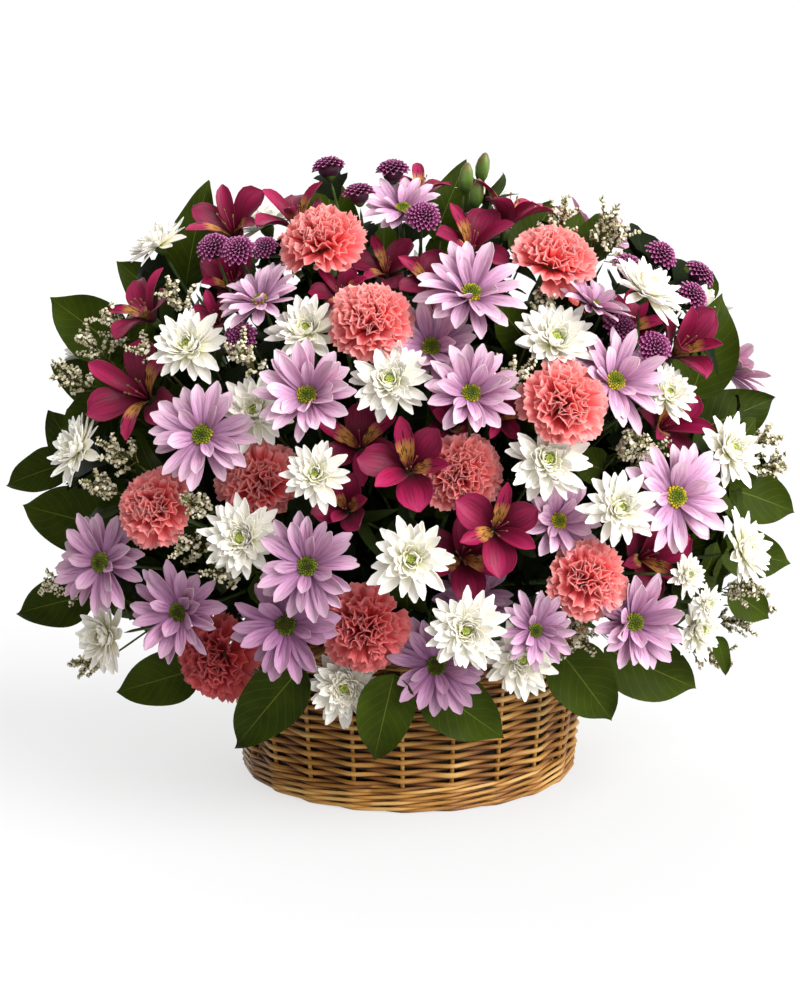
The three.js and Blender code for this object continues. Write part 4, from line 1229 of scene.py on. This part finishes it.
# %% Grow the foliage
# the leaf that grows on each kind of stem, and its length in mm at full size
LEAF_OF = {"lilac": (MUM_LEAF, 50), "white": (MUM_LEAF, 50), "button": (MUM_LEAF, 50),
           "trumpet": (LANCE, 80), "coral": (SMALL_SALAL, 100), "tuft": (SMALL_SALAL, 100),
           "leaf": (SMALL_SALAL, 100)}
LEAF_ENDS, OUTLINE_FROM = 3600, 2700  # the ends from the second number on close the mound's outline
STEP_ROUND, STEP_UP = 0.56984, 0.75488  # shares of a turn and of the height that spread points evenly
SHORTEST, LONGEST = 40 * MM, 95 * MM
foliage = {name: [] for name in stems}
leaf_rng = random.Random(42)
for i in range(LEAF_ENDS):
    rise = math.asin(between((i * STEP_UP) % 1.0, -0.5 if i < OUTLINE_FROM else -0.7, 1.0))
    turn = TAU * ((i * STEP_ROUND) % 1.0)
    share = leaf_rng.uniform(0.36, 0.96) + 0.05 * max(0.0, math.sin(rise))
    if i >= OUTLINE_FROM:
        turn = math.copysign(TAU / 4, math.sin(turn)) + 0.35 * math.cos(turn)
        share = max(share, leaf_rng.uniform(0.6, 0.92))
    tip = mound_point(turn, rise, share)
    near = sorted(((place - tip).length, place, name) for place, name in stem_faces
                  if (place - MOUND_MIDDLE).length < (tip - MOUND_MIDDLE).length + 5 * MM)
    near = [item for item in near if SHORTEST < item[0] < LONGEST][:6]
    if not near:
        continue
    far, base, name = leaf_rng.choice(near)
    along = (tip - base).normalized()
    outward = (tip - MOUND_MIDDLE).normalized()
    if i >= OUTLINE_FROM:  # or the leaf would be seen edge on
        outward = (outward + Vector((0, -2.5, 0.5))).normalized()
    up = (outward + 0.5 * Vector([leaf_rng.uniform(-1, 1) for _ in range(3)])).normalized()
    across = along.cross(up)
    if across.length < 0.15:
        continue
    across.normalize()
    up = across.cross(along)
    side = 0.16 * far * across
    places = [base.lerp(tip, t) + s * side for t in (0.35, 0.6, 0.85, 1.0) for s in (-1, 0, 1)]
    if clear_of_blooms(places) and clear_of_blades(places):
        foliage[name].append((base, along, across, up, far, leaf_rng.random()))
print("leaves grown:", sum(len(leaves) for leaves in foliage.values()))

# %% [markdown]
# ## One piece for each stem
# Each stem, its blooms and its leaves are to become one object that stands for its CAD node. The piece
# rides on the body "root", as the whole arrangement is one body. Blooms in the lower third are given a
# little deeper colour, a painted shade for the shadow of the ones above, and those on the right a
# paler one, a painted light from the right.

# %% Making a piece
def as_piece(bm, name, materials, node=None):
    """Makes an object of bm on the body "root", and hides the CAD node that it replaces, if one is
    given.
    """
    piece = add_object(name, finished(bm, name, *materials))
    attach(piece, "root")
    if node:
        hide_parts(node)
    return piece


def slot_for(materials, mesh):
    """The slot of each of mesh's materials in a growing list."""
    for material in mesh.materials:
        if material not in materials:
            materials.append(material)
    return [materials.index(material) for material in mesh.materials]


def painted_shade(place, rng):
    """How deep the painted shade of a bloom is: more in the lower third, and less on the right."""
    low = between((240 * MM - place.z) / (120 * MM), 0, 1)
    right = between((place.x - 50 * MM) / (150 * MM), 0, 1)
    return between(0.12 + 0.75 * low - 0.7 * right + rng.uniform(-0.18, 0.18), 0, 1)


print("deepness of a low bloom:", round(painted_shade(Vector((0, 0, 120 * MM)), random.Random(0)), 2))

# %% [markdown]
# A table says for each kind of stem which blooms it bears, how much its bare stem swells, and what
# skin it has. Then every stem is built in the same way: first the rounded stem, then its heads, then
# the frame's own leaves, and last the foliage that grows between the blooms.

# %% Build the stems with their blooms
BLOOM_OF = {"lilac": LILAC, "white": WHITE, "coral": CORAL, "button": BUTTON, "trumpet": TRUMPET,
            "bud": BUD, "tuft": TUFT}
# how much a bare stem swells before it is rounded, in mm, where it isn't 0.5
SWELL = {"button": 0.4, "tuft": 0.35, "leaf": 0.4}
STEM_SKIN = {"coral": grey_calyx, "tuft": dry_twig}
BLADE_WIDTH, BLADE_LENGTH = 68 * MM, 93 * MM  # of the frame's blade where the leaf's scale is 1


def build_stem(name, stem, seed):
    """The whole stem as one piece, with its own seed for what is left to chance."""
    rng = random.Random(seed)
    kind = stem["kind"]
    bare = rounded(stem["bare"], SWELL.get(kind, 0.5) * MM)
    stem["bare"].free()
    bm = new_bloom()
    bm.verts.layers.float.new("bloom")
    materials = [STEM_SKIN.get(kind, green_stem)]
    pour(bm, bare, Matrix.Identity(4), 0.0, [0])
    tone = bm.verts.layers.float["shade"]
    for vert in bm.verts:
        vert[tone] = 0.45 + 0.2 * math.sin(60 * vert.co.z)
    for face in bm.faces:
        face.smooth = True
    # each bloom's "bloom" value is its painted shade: deeper low down and paler on the right
    for form, (middle, axis, size) in stem["heads"]:
        mesh = rng.choice(BLOOM_OF[form])
        pour(bm, mesh, facing(middle, axis, rng.uniform(0, TAU), size), painted_shade(middle, rng),
             slot_for(materials, mesh))
    for base, along, across, up, length, width, _, _ in stem["leaves"]:
        mesh = rng.choice(SALAL)
        place = blade_place(base, along, across, up, width / BLADE_WIDTH, length / BLADE_LENGTH)
        pour(bm, mesh, place, rng.random(), slot_for(materials, mesh))
    meshes, long = LEAF_OF[kind]
    for base, along, across, up, far, bloom in foliage[name]:
        mesh = rng.choice(meshes)
        scale = far / (long * MM)
        broad = scale if long < 100 else min(1.0, scale * 1.15)
        pour(bm, mesh, blade_place(base, along, across, up, broad, scale), bloom,
             slot_for(materials, mesh))
    return as_piece(bm, "cut_" + name, materials, name)


flower_pieces = [build_stem(name, stem, 2000 + i)
                 for i, (name, stem) in enumerate(sorted(stems.items()))]
print("flower pieces:", len(flower_pieces), "faces:",
      sum(len(piece.data.polygons) for piece in flower_pieces))

# %% [markdown]
# ## Willow
# Buff willow is boiled and peeled: a warm golden brown, smooth, with a satin gleam and long fine
# grain along the rod. Rods differ from one another, from straw to brown, so the tone comes from the
# "shade" value of each rod, with stains about 36 mm long on it. The grain is noise in object space,
# stretched along the rod: about 1 mm across it and 11 mm or more along it. It is drawn coarser than
# real grain, which wouldn't show at this distance.


# %% Willow material
def willow_material(name, stretch):
    """Peeled willow, whose grain has that many cells in a metre along x, y and z."""
    made, tree = new_material(name)
    place = add_node(tree, "TexCoord")
    grain_place = add_node(tree, "Mapping", {"Vector": place.outputs["Object"], "Scale": stretch})
    grain = add_node(tree, "TexNoise", {"Vector": grain_place.outputs["Vector"], "Scale": 1.0,
                                        "Detail": 4.0})
    patch = add_node(tree, "TexNoise", {"Vector": place.outputs["Object"], "Scale": 28.0,
                                        "Detail": 2.0})
    shade = add_node(tree, "Attribute", attribute_name="shade")
    mixed = add_node(tree, "Math", {0: grain.outputs["Fac"], 1: 0.35, 2: shade.outputs["Fac"]},
                     operation="MULTIPLY_ADD")
    tone = add_node(tree, "Math", {0: patch.outputs["Fac"], 1: 0.5, 2: mixed.outputs[0]},
                    operation="MULTIPLY_ADD")
    halved = add_node(tree, "Math", {0: tone.outputs[0], 1: 0.5}, operation="MULTIPLY")
    ramp = set_stops(add_node(tree, "ValToRGB", {"Fac": halved.outputs[0]}),
                     (0.14, "#2C1204"), (0.36, "#724412"), (0.6, "#AC7A36"), (0.9, "#E2BE7A"))
    bump = add_node(tree, "Bump", {"Height": grain.outputs["Fac"], "Strength": 0.35,
                                   "Distance": 0.4 * MM})
    rough = add_node(tree, "MapRange", {"Value": grain.outputs["Fac"], "To Min": 0.32, "To Max": 0.55})
    add_surface(tree, {"Base Color": ramp.outputs["Color"], "Normal": bump.outputs["Normal"],
                       "Roughness": rough.outputs[0], "Specular IOR Level": 0.3,
                       "Coat Weight": 0.05, "Coat Roughness": 0.35})
    return made


level_willow = willow_material("peeled_willow_weavers", (90, 90, 900))
upright_willow = willow_material("peeled_willow_stakes", (700, 700, 60))
print("willow:", level_willow.name, upright_willow.name)

# %% [markdown]
# ## The curve of the wall
# The wall is randing: each weaver passes before one stake and behind the next, and the row above does
# the opposite, so dark wedges show beside each stake. Before any rod is made, a few functions say
# where the wall is: its radius grows from foot to rim, and between two stakes it runs nearly straight,
# since willow is stiff. Rods are about 3.8 mm thick and a row is 3.7 mm high, so they press on each
# other where they cross.

# %% Sizes of the basket
STAKES = 22
PHASE = math.radians(5.9)  # turns the stakes to where the picture has them
FOOT_RADIUS, RIM_RADIUS = 131 * MM, 143 * MM
BASE_TOP, BORDER_MIDDLE = 8 * MM, 122 * MM
WALL_HALF = 3.5 * MM  # half of the wall's thickness
ROD, STAKE_ROD = 1.88 * MM, 1.6 * MM  # radii of a weaver and of a stake
ROW, SWING = 3.72 * MM, 3.3 * MM  # height of a row, and how far it swings in and out
FACET = 1.9 * MM  # how far the wall runs inside of its round between two stakes


def wall_radius(height):
    """The radius of the middle of the wall."""
    return FOOT_RADIUS + (RIM_RADIUS - FOOT_RADIUS) * height / BORDER_MIDDLE - WALL_HALF


def stake_swing(angle):
    """1 before one stake and -1 before the next, nearly straight in between, as stiff rods run."""
    turn = 0.5 * STAKES * (angle - PHASE)
    return 0.75 * math.asin(math.cos(turn)) / (0.5 * math.pi) + 0.25 * math.cos(turn)


def wall_at(height, angle):
    """The radius of the middle of the wall, which has a corner at each stake."""
    return wall_radius(height) - FACET * (1 - stake_swing(angle) ** 2)


print("rim:", round(2 * wall_radius(BORDER_MIDDLE) / MM), "mm across the middle of the wall")

# %% [markdown]
# ## Rods that run round
# A row of weaving is a ring, spun from a small circle and then bent vertex by vertex to where the
# rod runs. A curve with a bevel could do the same, but a spun ring gives even faces, all of them
# square to the rod, and it closes on itself. Spinning is slow, so a ring is spun once and copied.

# %% Ring rods
SPUN_RADIUS = 10  # in units of the rod's radius
WALL_STEPS, ROD_SIDES = 144, 7
spun_rings = {}


def spun_ring(steps, sides):
    """A ring of SPUN_RADIUS, spun from a circle of radius 1."""
    bm = bmesh.new()
    circle = bmesh.ops.create_circle(bm, segments=sides, radius=1.0)["verts"]
    bmesh.ops.rotate(bm, verts=circle, cent=(0, 0, 0), matrix=Matrix.Rotation(math.pi / 2, 3, "X"))
    bmesh.ops.translate(bm, vec=(SPUN_RADIUS, 0, 0), verts=circle)
    bmesh.ops.spin(bm, geom=bm.verts[:] + bm.edges[:], cent=(0, 0, 0), axis=(0, 0, 1), angle=TAU,
                   steps=steps, use_merge=True)
    bmesh.ops.recalc_face_normals(bm, faces=bm.faces)
    for face in bm.faces:
        face.smooth = True
    return bm


def add_ring_rod(bm, rod, middle, steps, shade_at, sides=ROD_SIDES):
    """A closed ring of rod of radius rod(angle), whose middle is (radius, height) = middle(angle)."""
    if (steps, sides) not in spun_rings:
        spun_rings[steps, sides] = spun_ring(steps, sides)
    ring = spun_rings[steps, sides].copy()
    tone = ring.verts.layers.float.new("shade")
    for vert in ring.verts:
        angle = math.atan2(vert.co.y, vert.co.x)
        radius, height = middle(angle)
        thick = rod(angle)
        out = radius + (vert.co.xy.length - SPUN_RADIUS) * thick
        vert.co = (out * math.cos(angle), out * math.sin(angle), height + vert.co.z * thick)
        vert[tone] = shade_at(angle)
    mesh = bpy.data.meshes.new("ring_rod")
    ring.to_mesh(mesh)
    ring.free()
    bm.from_mesh(mesh)
    bpy.data.meshes.remove(mesh)


def new_weave():
    """An empty bmesh with a shade value for each vertex."""
    bm = bmesh.new()
    bm.verts.layers.float.new("shade")
    return bm


print("a ring of the wall has", WALL_STEPS * ROD_SIDES, "faces")

# %% [markdown]
# ## The woven wall
# Each row swings out before every other stake. No rod is perfectly round or level, so a row wavers by
# a few tenths of a millimetre, and it is pieced from five lengths of willow of different tones. Its
# tone is painted lighter where it passes outside a stake and darker where it dives behind one: a
# painted highlight, and a painted shade in the recess.

# %% Randed wall
wall_rng = random.Random(7)
bm = new_weave()
first_row, last_row = BASE_TOP + 14 * MM, BORDER_MIDDLE - 7 * MM
rows = int((last_row - first_row) / ROW) + 1
for row in range(rows):
    height = first_row + row * ROW
    wobble = [(wall_rng.uniform(0.1, 0.4) * MM, wall_rng.uniform(0, TAU), wall_rng.randint(2, 9))
              for _ in range(3)]
    joints = sorted(wall_rng.uniform(-math.pi, math.pi) for _ in range(4))
    tones = [wall_rng.uniform(0.3, 0.85) for _ in range(5)]
    flip = 1 if row % 2 else -1

    def middle(angle, height=height, wobble=wobble, flip=flip):
        waver = sum(size * math.sin(turns * angle + phase) for size, phase, turns in wobble)
        swing = stake_swing(angle)
        return wall_at(height, angle) + flip * SWING * swing, height + waver * 0.7

    def thick(angle, wobble=wobble):
        size, phase, turns = wobble[0]
        return ROD * (1 + 0.1 * math.sin(turns * angle + 2 * phase))

    # painted light and shade: lighter where the rod passes outside a stake, darker behind one
    def tone_at(angle, joints=joints, tones=tones, flip=flip):
        return tones[sum(angle > joint for joint in joints)] + 0.42 * flip * stake_swing(angle) - 0.16

    add_ring_rod(bm, thick, middle, WALL_STEPS, tone_at)
wall = as_piece(bm, "willow_wall_weave", [level_willow], "basket_wall")
print("rows of randing:", rows, "faces:", len(wall.data.polygons))

# %% [markdown]
# ## Waling at the foot
# The lowest rows are a three-rod wale: each rod passes before two stakes and behind one, and climbs
# as it goes, which looks like a slanting rope and locks the foot. It could be made from short curved
# pieces, as the weaver lays them. Rings that swing once every three stakes, three to a row and each
# one stake behind the last, look the same and leave no ends.

# %% Waling
WALE_ROD = 1.4 * MM
WALES = ((2.8, 1.2), (7.3, 1.7), (12.4, 1.8), (17.9, 1.8))  # height of a row and its climb, in mm
bm = new_weave()
for level, climb in WALES:
    for strand in range(3):
        lead = TAU * strand / STAKES

        def middle(angle, level=level * MM, lead=lead, climb=climb * MM):
            turn = TAU * (((angle + lead) * STAKES / 3 / TAU) % 1.0)
            out = math.cos(turn) + 0.3
            return wall_at(level, angle) + 1.4 * MM + 1.9 * MM * out, level + climb * math.sin(turn)

        tones = [wall_rng.uniform(0.2, 0.85) for _ in range(9)]

        # painted light and shade: lighter where the strand lies outside, darker where it lies within
        def tone_at(angle, tones=tones, lead=lead):
            swing = math.cos((angle + lead) * STAKES / 3)
            return tones[int(4.5 + 1.4 * angle) % 9] + 0.45 * swing - 0.22

        add_ring_rod(bm, lambda angle: WALE_ROD, middle, 198, tone_at)
wale = as_piece(bm, "willow_foot_waling", [level_willow])
print("rows of waling:", len(WALES), "faces:", len(wale.data.polygons))

# %% [markdown]
# ## The stakes
# The stakes stand upright in the wall, one at each of its corners, and show as small nubs between the
# weavers. They are plain tapered rods that follow the lean of the wall.

# %% Stakes
bm = new_weave()
for i in range(STAKES):
    angle = TAU * i / STAKES + PHASE
    low, high = 3 * MM, BORDER_MIDDLE
    foot, head = (Vector((wall_radius(end) * math.cos(angle), wall_radius(end) * math.sin(angle), end))
                  for end in (low, high))
    place = Matrix.Translation((foot + head) / 2) @ turned_to(head - foot)
    add_rod(bm, 8, STAKE_ROD * 1.1, STAKE_ROD * 0.9, high - low, place,
            wall_rng.uniform(0.6, 1.0), 0)
stakes = as_piece(bm, "willow_stakes", [upright_willow])
print("stakes:", STAKES, "faces:", len(stakes.data.polygons))

# %% [markdown]
# ## The rolled border
# Above the wall the stakes' long ends are laid down and rolled round each other, which makes a rope
# along the rim. A rope could be a twisted circle with a bevelled profile. Here five rods wind
# round the rim's middle line, one turn for each stake, so light falls between them.

# %% Border
STRANDS, WIND, BORDER_ROD = 5, 3.5 * MM, 2.5 * MM
border_radius = RIM_RADIUS - WALL_HALF
bm = new_weave()
for strand in range(STRANDS):
    lead = TAU * strand / STRANDS

    def middle(angle, lead=lead):
        turn = STAKES * angle + lead
        return border_radius + WIND * math.cos(turn), BORDER_MIDDLE + WIND * math.sin(turn)

    def tone_at(angle, tone=wall_rng.uniform(0.2, 0.9)):
        return tone + 0.2 * math.sin(9 * angle)

    add_ring_rod(bm, lambda angle: BORDER_ROD, middle, 12 * STAKES, tone_at, 6)
border = as_piece(bm, "willow_rolled_border", [level_willow], "basket_border")
print("border strands:", STRANDS, "faces:", len(border.data.polygons))

# %% [markdown]
# ## The woven base
# The base is a round of twelve spokes with rods woven over and under them. It is seen only when the
# basket is lifted, so it is kept simple: twenty-two rings that wave up and down across the spokes,
# all within the base's 8 mm.

# %% Base
SPOKES, RINGS = 12, 22
INNER_RADIUS, OUTER_RADIUS, BASE_MIDDLE = 14 * MM, FOOT_RADIUS - 8 * MM, 4 * MM
bm = new_weave()
for i in range(SPOKES):
    place = (lifted(BASE_MIDDLE) @ Matrix.Rotation(math.pi * i / SPOKES, 4, "Z")
             @ Matrix.Rotation(math.pi / 2, 4, "Y"))
    add_rod(bm, 8, 1.7 * MM, 1.7 * MM, 2 * OUTER_RADIUS, place, 0.5, 0)
for ring in range(RINGS):
    radius = INNER_RADIUS + (OUTER_RADIUS - INNER_RADIUS) * ring / (RINGS - 1)
    flip = 1 if ring % 2 else -1

    def middle(angle, radius=radius, flip=flip):
        return radius, BASE_MIDDLE + flip * 1.5 * MM * math.cos(SPOKES * angle)

    add_ring_rod(bm, lambda angle: 2.4 * MM, middle, 96,
                 lambda angle, tone=wall_rng.uniform(0.2, 0.9): tone, 6)
base = as_piece(bm, "willow_base_weave", [level_willow], "basket_base")
print("base rings:", RINGS, "faces:", len(base.data.polygons))

# %% [markdown]
# ## Liner and foam
# The liner is thin vacuum-formed plastic, dark green, with a soft gloss and faint ripples where it
# cooled. The foam is soaked floral foam: dull green, with very fine cells, and crumbly. Its real cells
# are a few tenths of a millimetre wide, and are drawn 1.2 mm wide, so that they show. Both CAD nodes
# have the right shape, so they stay, and each only gets a material in its slots.

# %% Liner and foam materials
FOAM_CELL = 1.2 * MM
liner_plastic, tree = new_material("vacuum_formed_liner_plastic")
place = add_node(tree, "TexCoord")
ripple = add_node(tree, "TexNoise", {"Vector": place.outputs["Object"], "Scale": 60.0, "Detail": 2.0})
tone = set_stops(add_node(tree, "ValToRGB", {"Fac": ripple.outputs["Fac"]}),
                 (0.3, "#0A140C"), (0.7, "#111E14"))
bump = add_node(tree, "Bump", {"Height": ripple.outputs["Fac"], "Strength": 0.3, "Distance": 0.5 * MM})
rough = add_node(tree, "MapRange", {"Value": ripple.outputs["Fac"], "To Min": 0.5, "To Max": 0.65})
add_surface(tree, {"Base Color": tone.outputs["Color"], "Normal": bump.outputs["Normal"],
                   "Roughness": rough.outputs[0]})

foam_cells, tree = new_material("wet_phenolic_floral_foam")
place = add_node(tree, "TexCoord")
cell = add_node(tree, "TexVoronoi", {"Vector": place.outputs["Object"], "Scale": 1 / FOAM_CELL})
blotch = add_node(tree, "TexNoise", {"Vector": place.outputs["Object"], "Scale": 40.0, "Detail": 4.0})
tone = set_stops(add_node(tree, "ValToRGB", {"Fac": blotch.outputs["Fac"]}),
                 (0.3, "#1E3B22"), (0.7, "#35573A"))
bump = add_node(tree, "Bump", {"Height": cell.outputs["Distance"], "Strength": 0.6,
                               "Distance": 0.6 * MM})
add_surface(tree, {"Base Color": tone.outputs["Color"], "Normal": bump.outputs["Normal"],
                   "Roughness": 0.85})

for node_name, material in (("liner_tray", liner_plastic), ("floral_foam", foam_cells)):
    slots = nodes[node_name].data.materials
    slots.clear()
    slots.append(material)
print("dressed:", liner_plastic.name, foam_cells.name)

# %% [markdown]
# ## The floor
# The picture is a bright studio shot on a white floor without a horizon. A white floor lit from above
# would throw its light back up under the basket, where the picture is dark. So the floor is a grey
# that glows faintly by itself: it looks white, takes a soft shadow, and isn't seen by the light that
# bounces between surfaces. It is a disc of 60 m radius, so its edge is far out of view.

# %% Floor
FLOOR_RADIUS, FLOOR_GLOW = 60, 0.66
bm = bmesh.new()
bmesh.ops.create_circle(bm, cap_ends=True, segments=64, radius=FLOOR_RADIUS)
floor_paint, tree = new_material("matt_white_floor")
place = add_node(tree, "TexCoord")
cloud = add_node(tree, "TexNoise", {"Vector": place.outputs["Object"], "Scale": 2.0})
tone = set_stops(add_node(tree, "ValToRGB", {"Fac": cloud.outputs["Fac"]}),
                 (0.0, "#7A7A7A"), (1.0, "#7E7E7E"))
add_surface(tree, {"Base Color": tone.outputs["Color"], "Roughness": 0.9, "Specular IOR Level": 0.1,
                   "Emission Color": (1, 1, 1, 1), "Emission Strength": FLOOR_GLOW})
floor = add_object("studio_floor", finished(bm, "studio_floor", floor_paint))
floor.visible_diffuse = False
floor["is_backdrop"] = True
print("floor:", 2 * FLOOR_RADIUS, "m across")

# %% [markdown]
# ## The light dome
# Soft light comes from all round, and more of it from the right, from above, and from the front and
# the back than from the left. Area lights could do this, but they fade with distance and show as
# patches on the floor. A dome of light is the world's own background: its brightness is worked out
# from the direction that is looked in, and a bright band lies at the horizon, so floor and wall
# meet without a line.

# %% Light dome
FROM_RIGHT, FROM_TOP, FROM_FLOOR, FROM_FRONT_AND_BACK = 0.45, 0.7, -0.55, 0.55
HORIZON_BAND = -16.0  # how fast the bright band at the horizon fades with height
world = bpy.data.worlds.new("studio")
bpy.context.scene.world = world
world.use_nodes = True
tree = world.node_tree
direction = add_node(tree, "TexCoord")
split = add_node(tree, "SeparateXYZ", {"Vector": direction.outputs["Generated"]})
level = add_node(tree, "Math", {0: split.outputs["Z"]}, operation="ABSOLUTE")
horizon = add_node(tree, "Math", {0: level.outputs[0], 1: HORIZON_BAND, 2: 1.0},
                   operation="MULTIPLY_ADD")
front_or_back = add_node(tree, "Math", {0: split.outputs["Y"]}, operation="ABSOLUTE")
below = add_node(tree, "Math", {0: split.outputs["Z"], 1: FROM_FLOOR}, operation="MULTIPLY")
above = add_node(tree, "Math", {0: split.outputs["Z"], 1: FROM_TOP}, operation="MULTIPLY")
upright = add_node(tree, "Math", {0: above.outputs[0], 1: below.outputs[0]}, operation="MAXIMUM")
sideways = add_node(tree, "Math", {0: split.outputs["X"], 1: FROM_RIGHT, 2: upright.outputs[0]},
                    operation="MULTIPLY_ADD")
brightness = add_node(tree, "Math", {0: front_or_back.outputs[0], 1: FROM_FRONT_AND_BACK,
                                     2: sideways.outputs[0]}, operation="MULTIPLY_ADD")
banded = add_node(tree, "Math", {0: brightness.outputs[0], 1: horizon.outputs[0]},
                  operation="MAXIMUM")
dome = set_stops(add_node(tree, "ValToRGB", {"Fac": banded.outputs[0]}),
                 (0.0, "#606060"), (0.8, "#FFFFFF"))
tree.links.new(dome.outputs["Color"], tree.nodes["Background"].inputs["Color"])
print("dome nodes:", len(tree.nodes))

# %% [markdown]
# ## Two suns
# The picture's main light is a large soft one, high on the right and a little in front, which leaves
# the left side deeper. A weaker one from behind rims the blooms. A sun gives the same light anywhere,
# and its width in degrees makes its shadows as soft as a large lamp's. The Standard view keeps white
# white, as a catalogue picture does.

# %% Suns
# name, strength, width in degrees, and the way the light travels
LAMPS = (("key", 4.7, 56, (-0.9, 0.62, -0.78)), ("fill", 1.2, 70, (0.35, -0.9, -0.6)))
for lamp_name, strength, width, way in LAMPS:
    lamp_data = bpy.data.lights.new(lamp_name, "SUN")
    lamp_data.energy, lamp_data.angle = strength, math.radians(width)
    lamp = add_object(lamp_name, lamp_data)
    lamp.rotation_euler = Vector(way).to_track_quat("-Z", "Y").to_euler()
bpy.context.scene.view_settings.view_transform = "Standard"
bpy.context.scene.view_settings.look = "None"
print("suns:", [lamp_name for lamp_name, *_ in LAMPS])

# %% Sizes
low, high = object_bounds()
print("visual box:", [round(x, 3) for x in (*low, *high)])
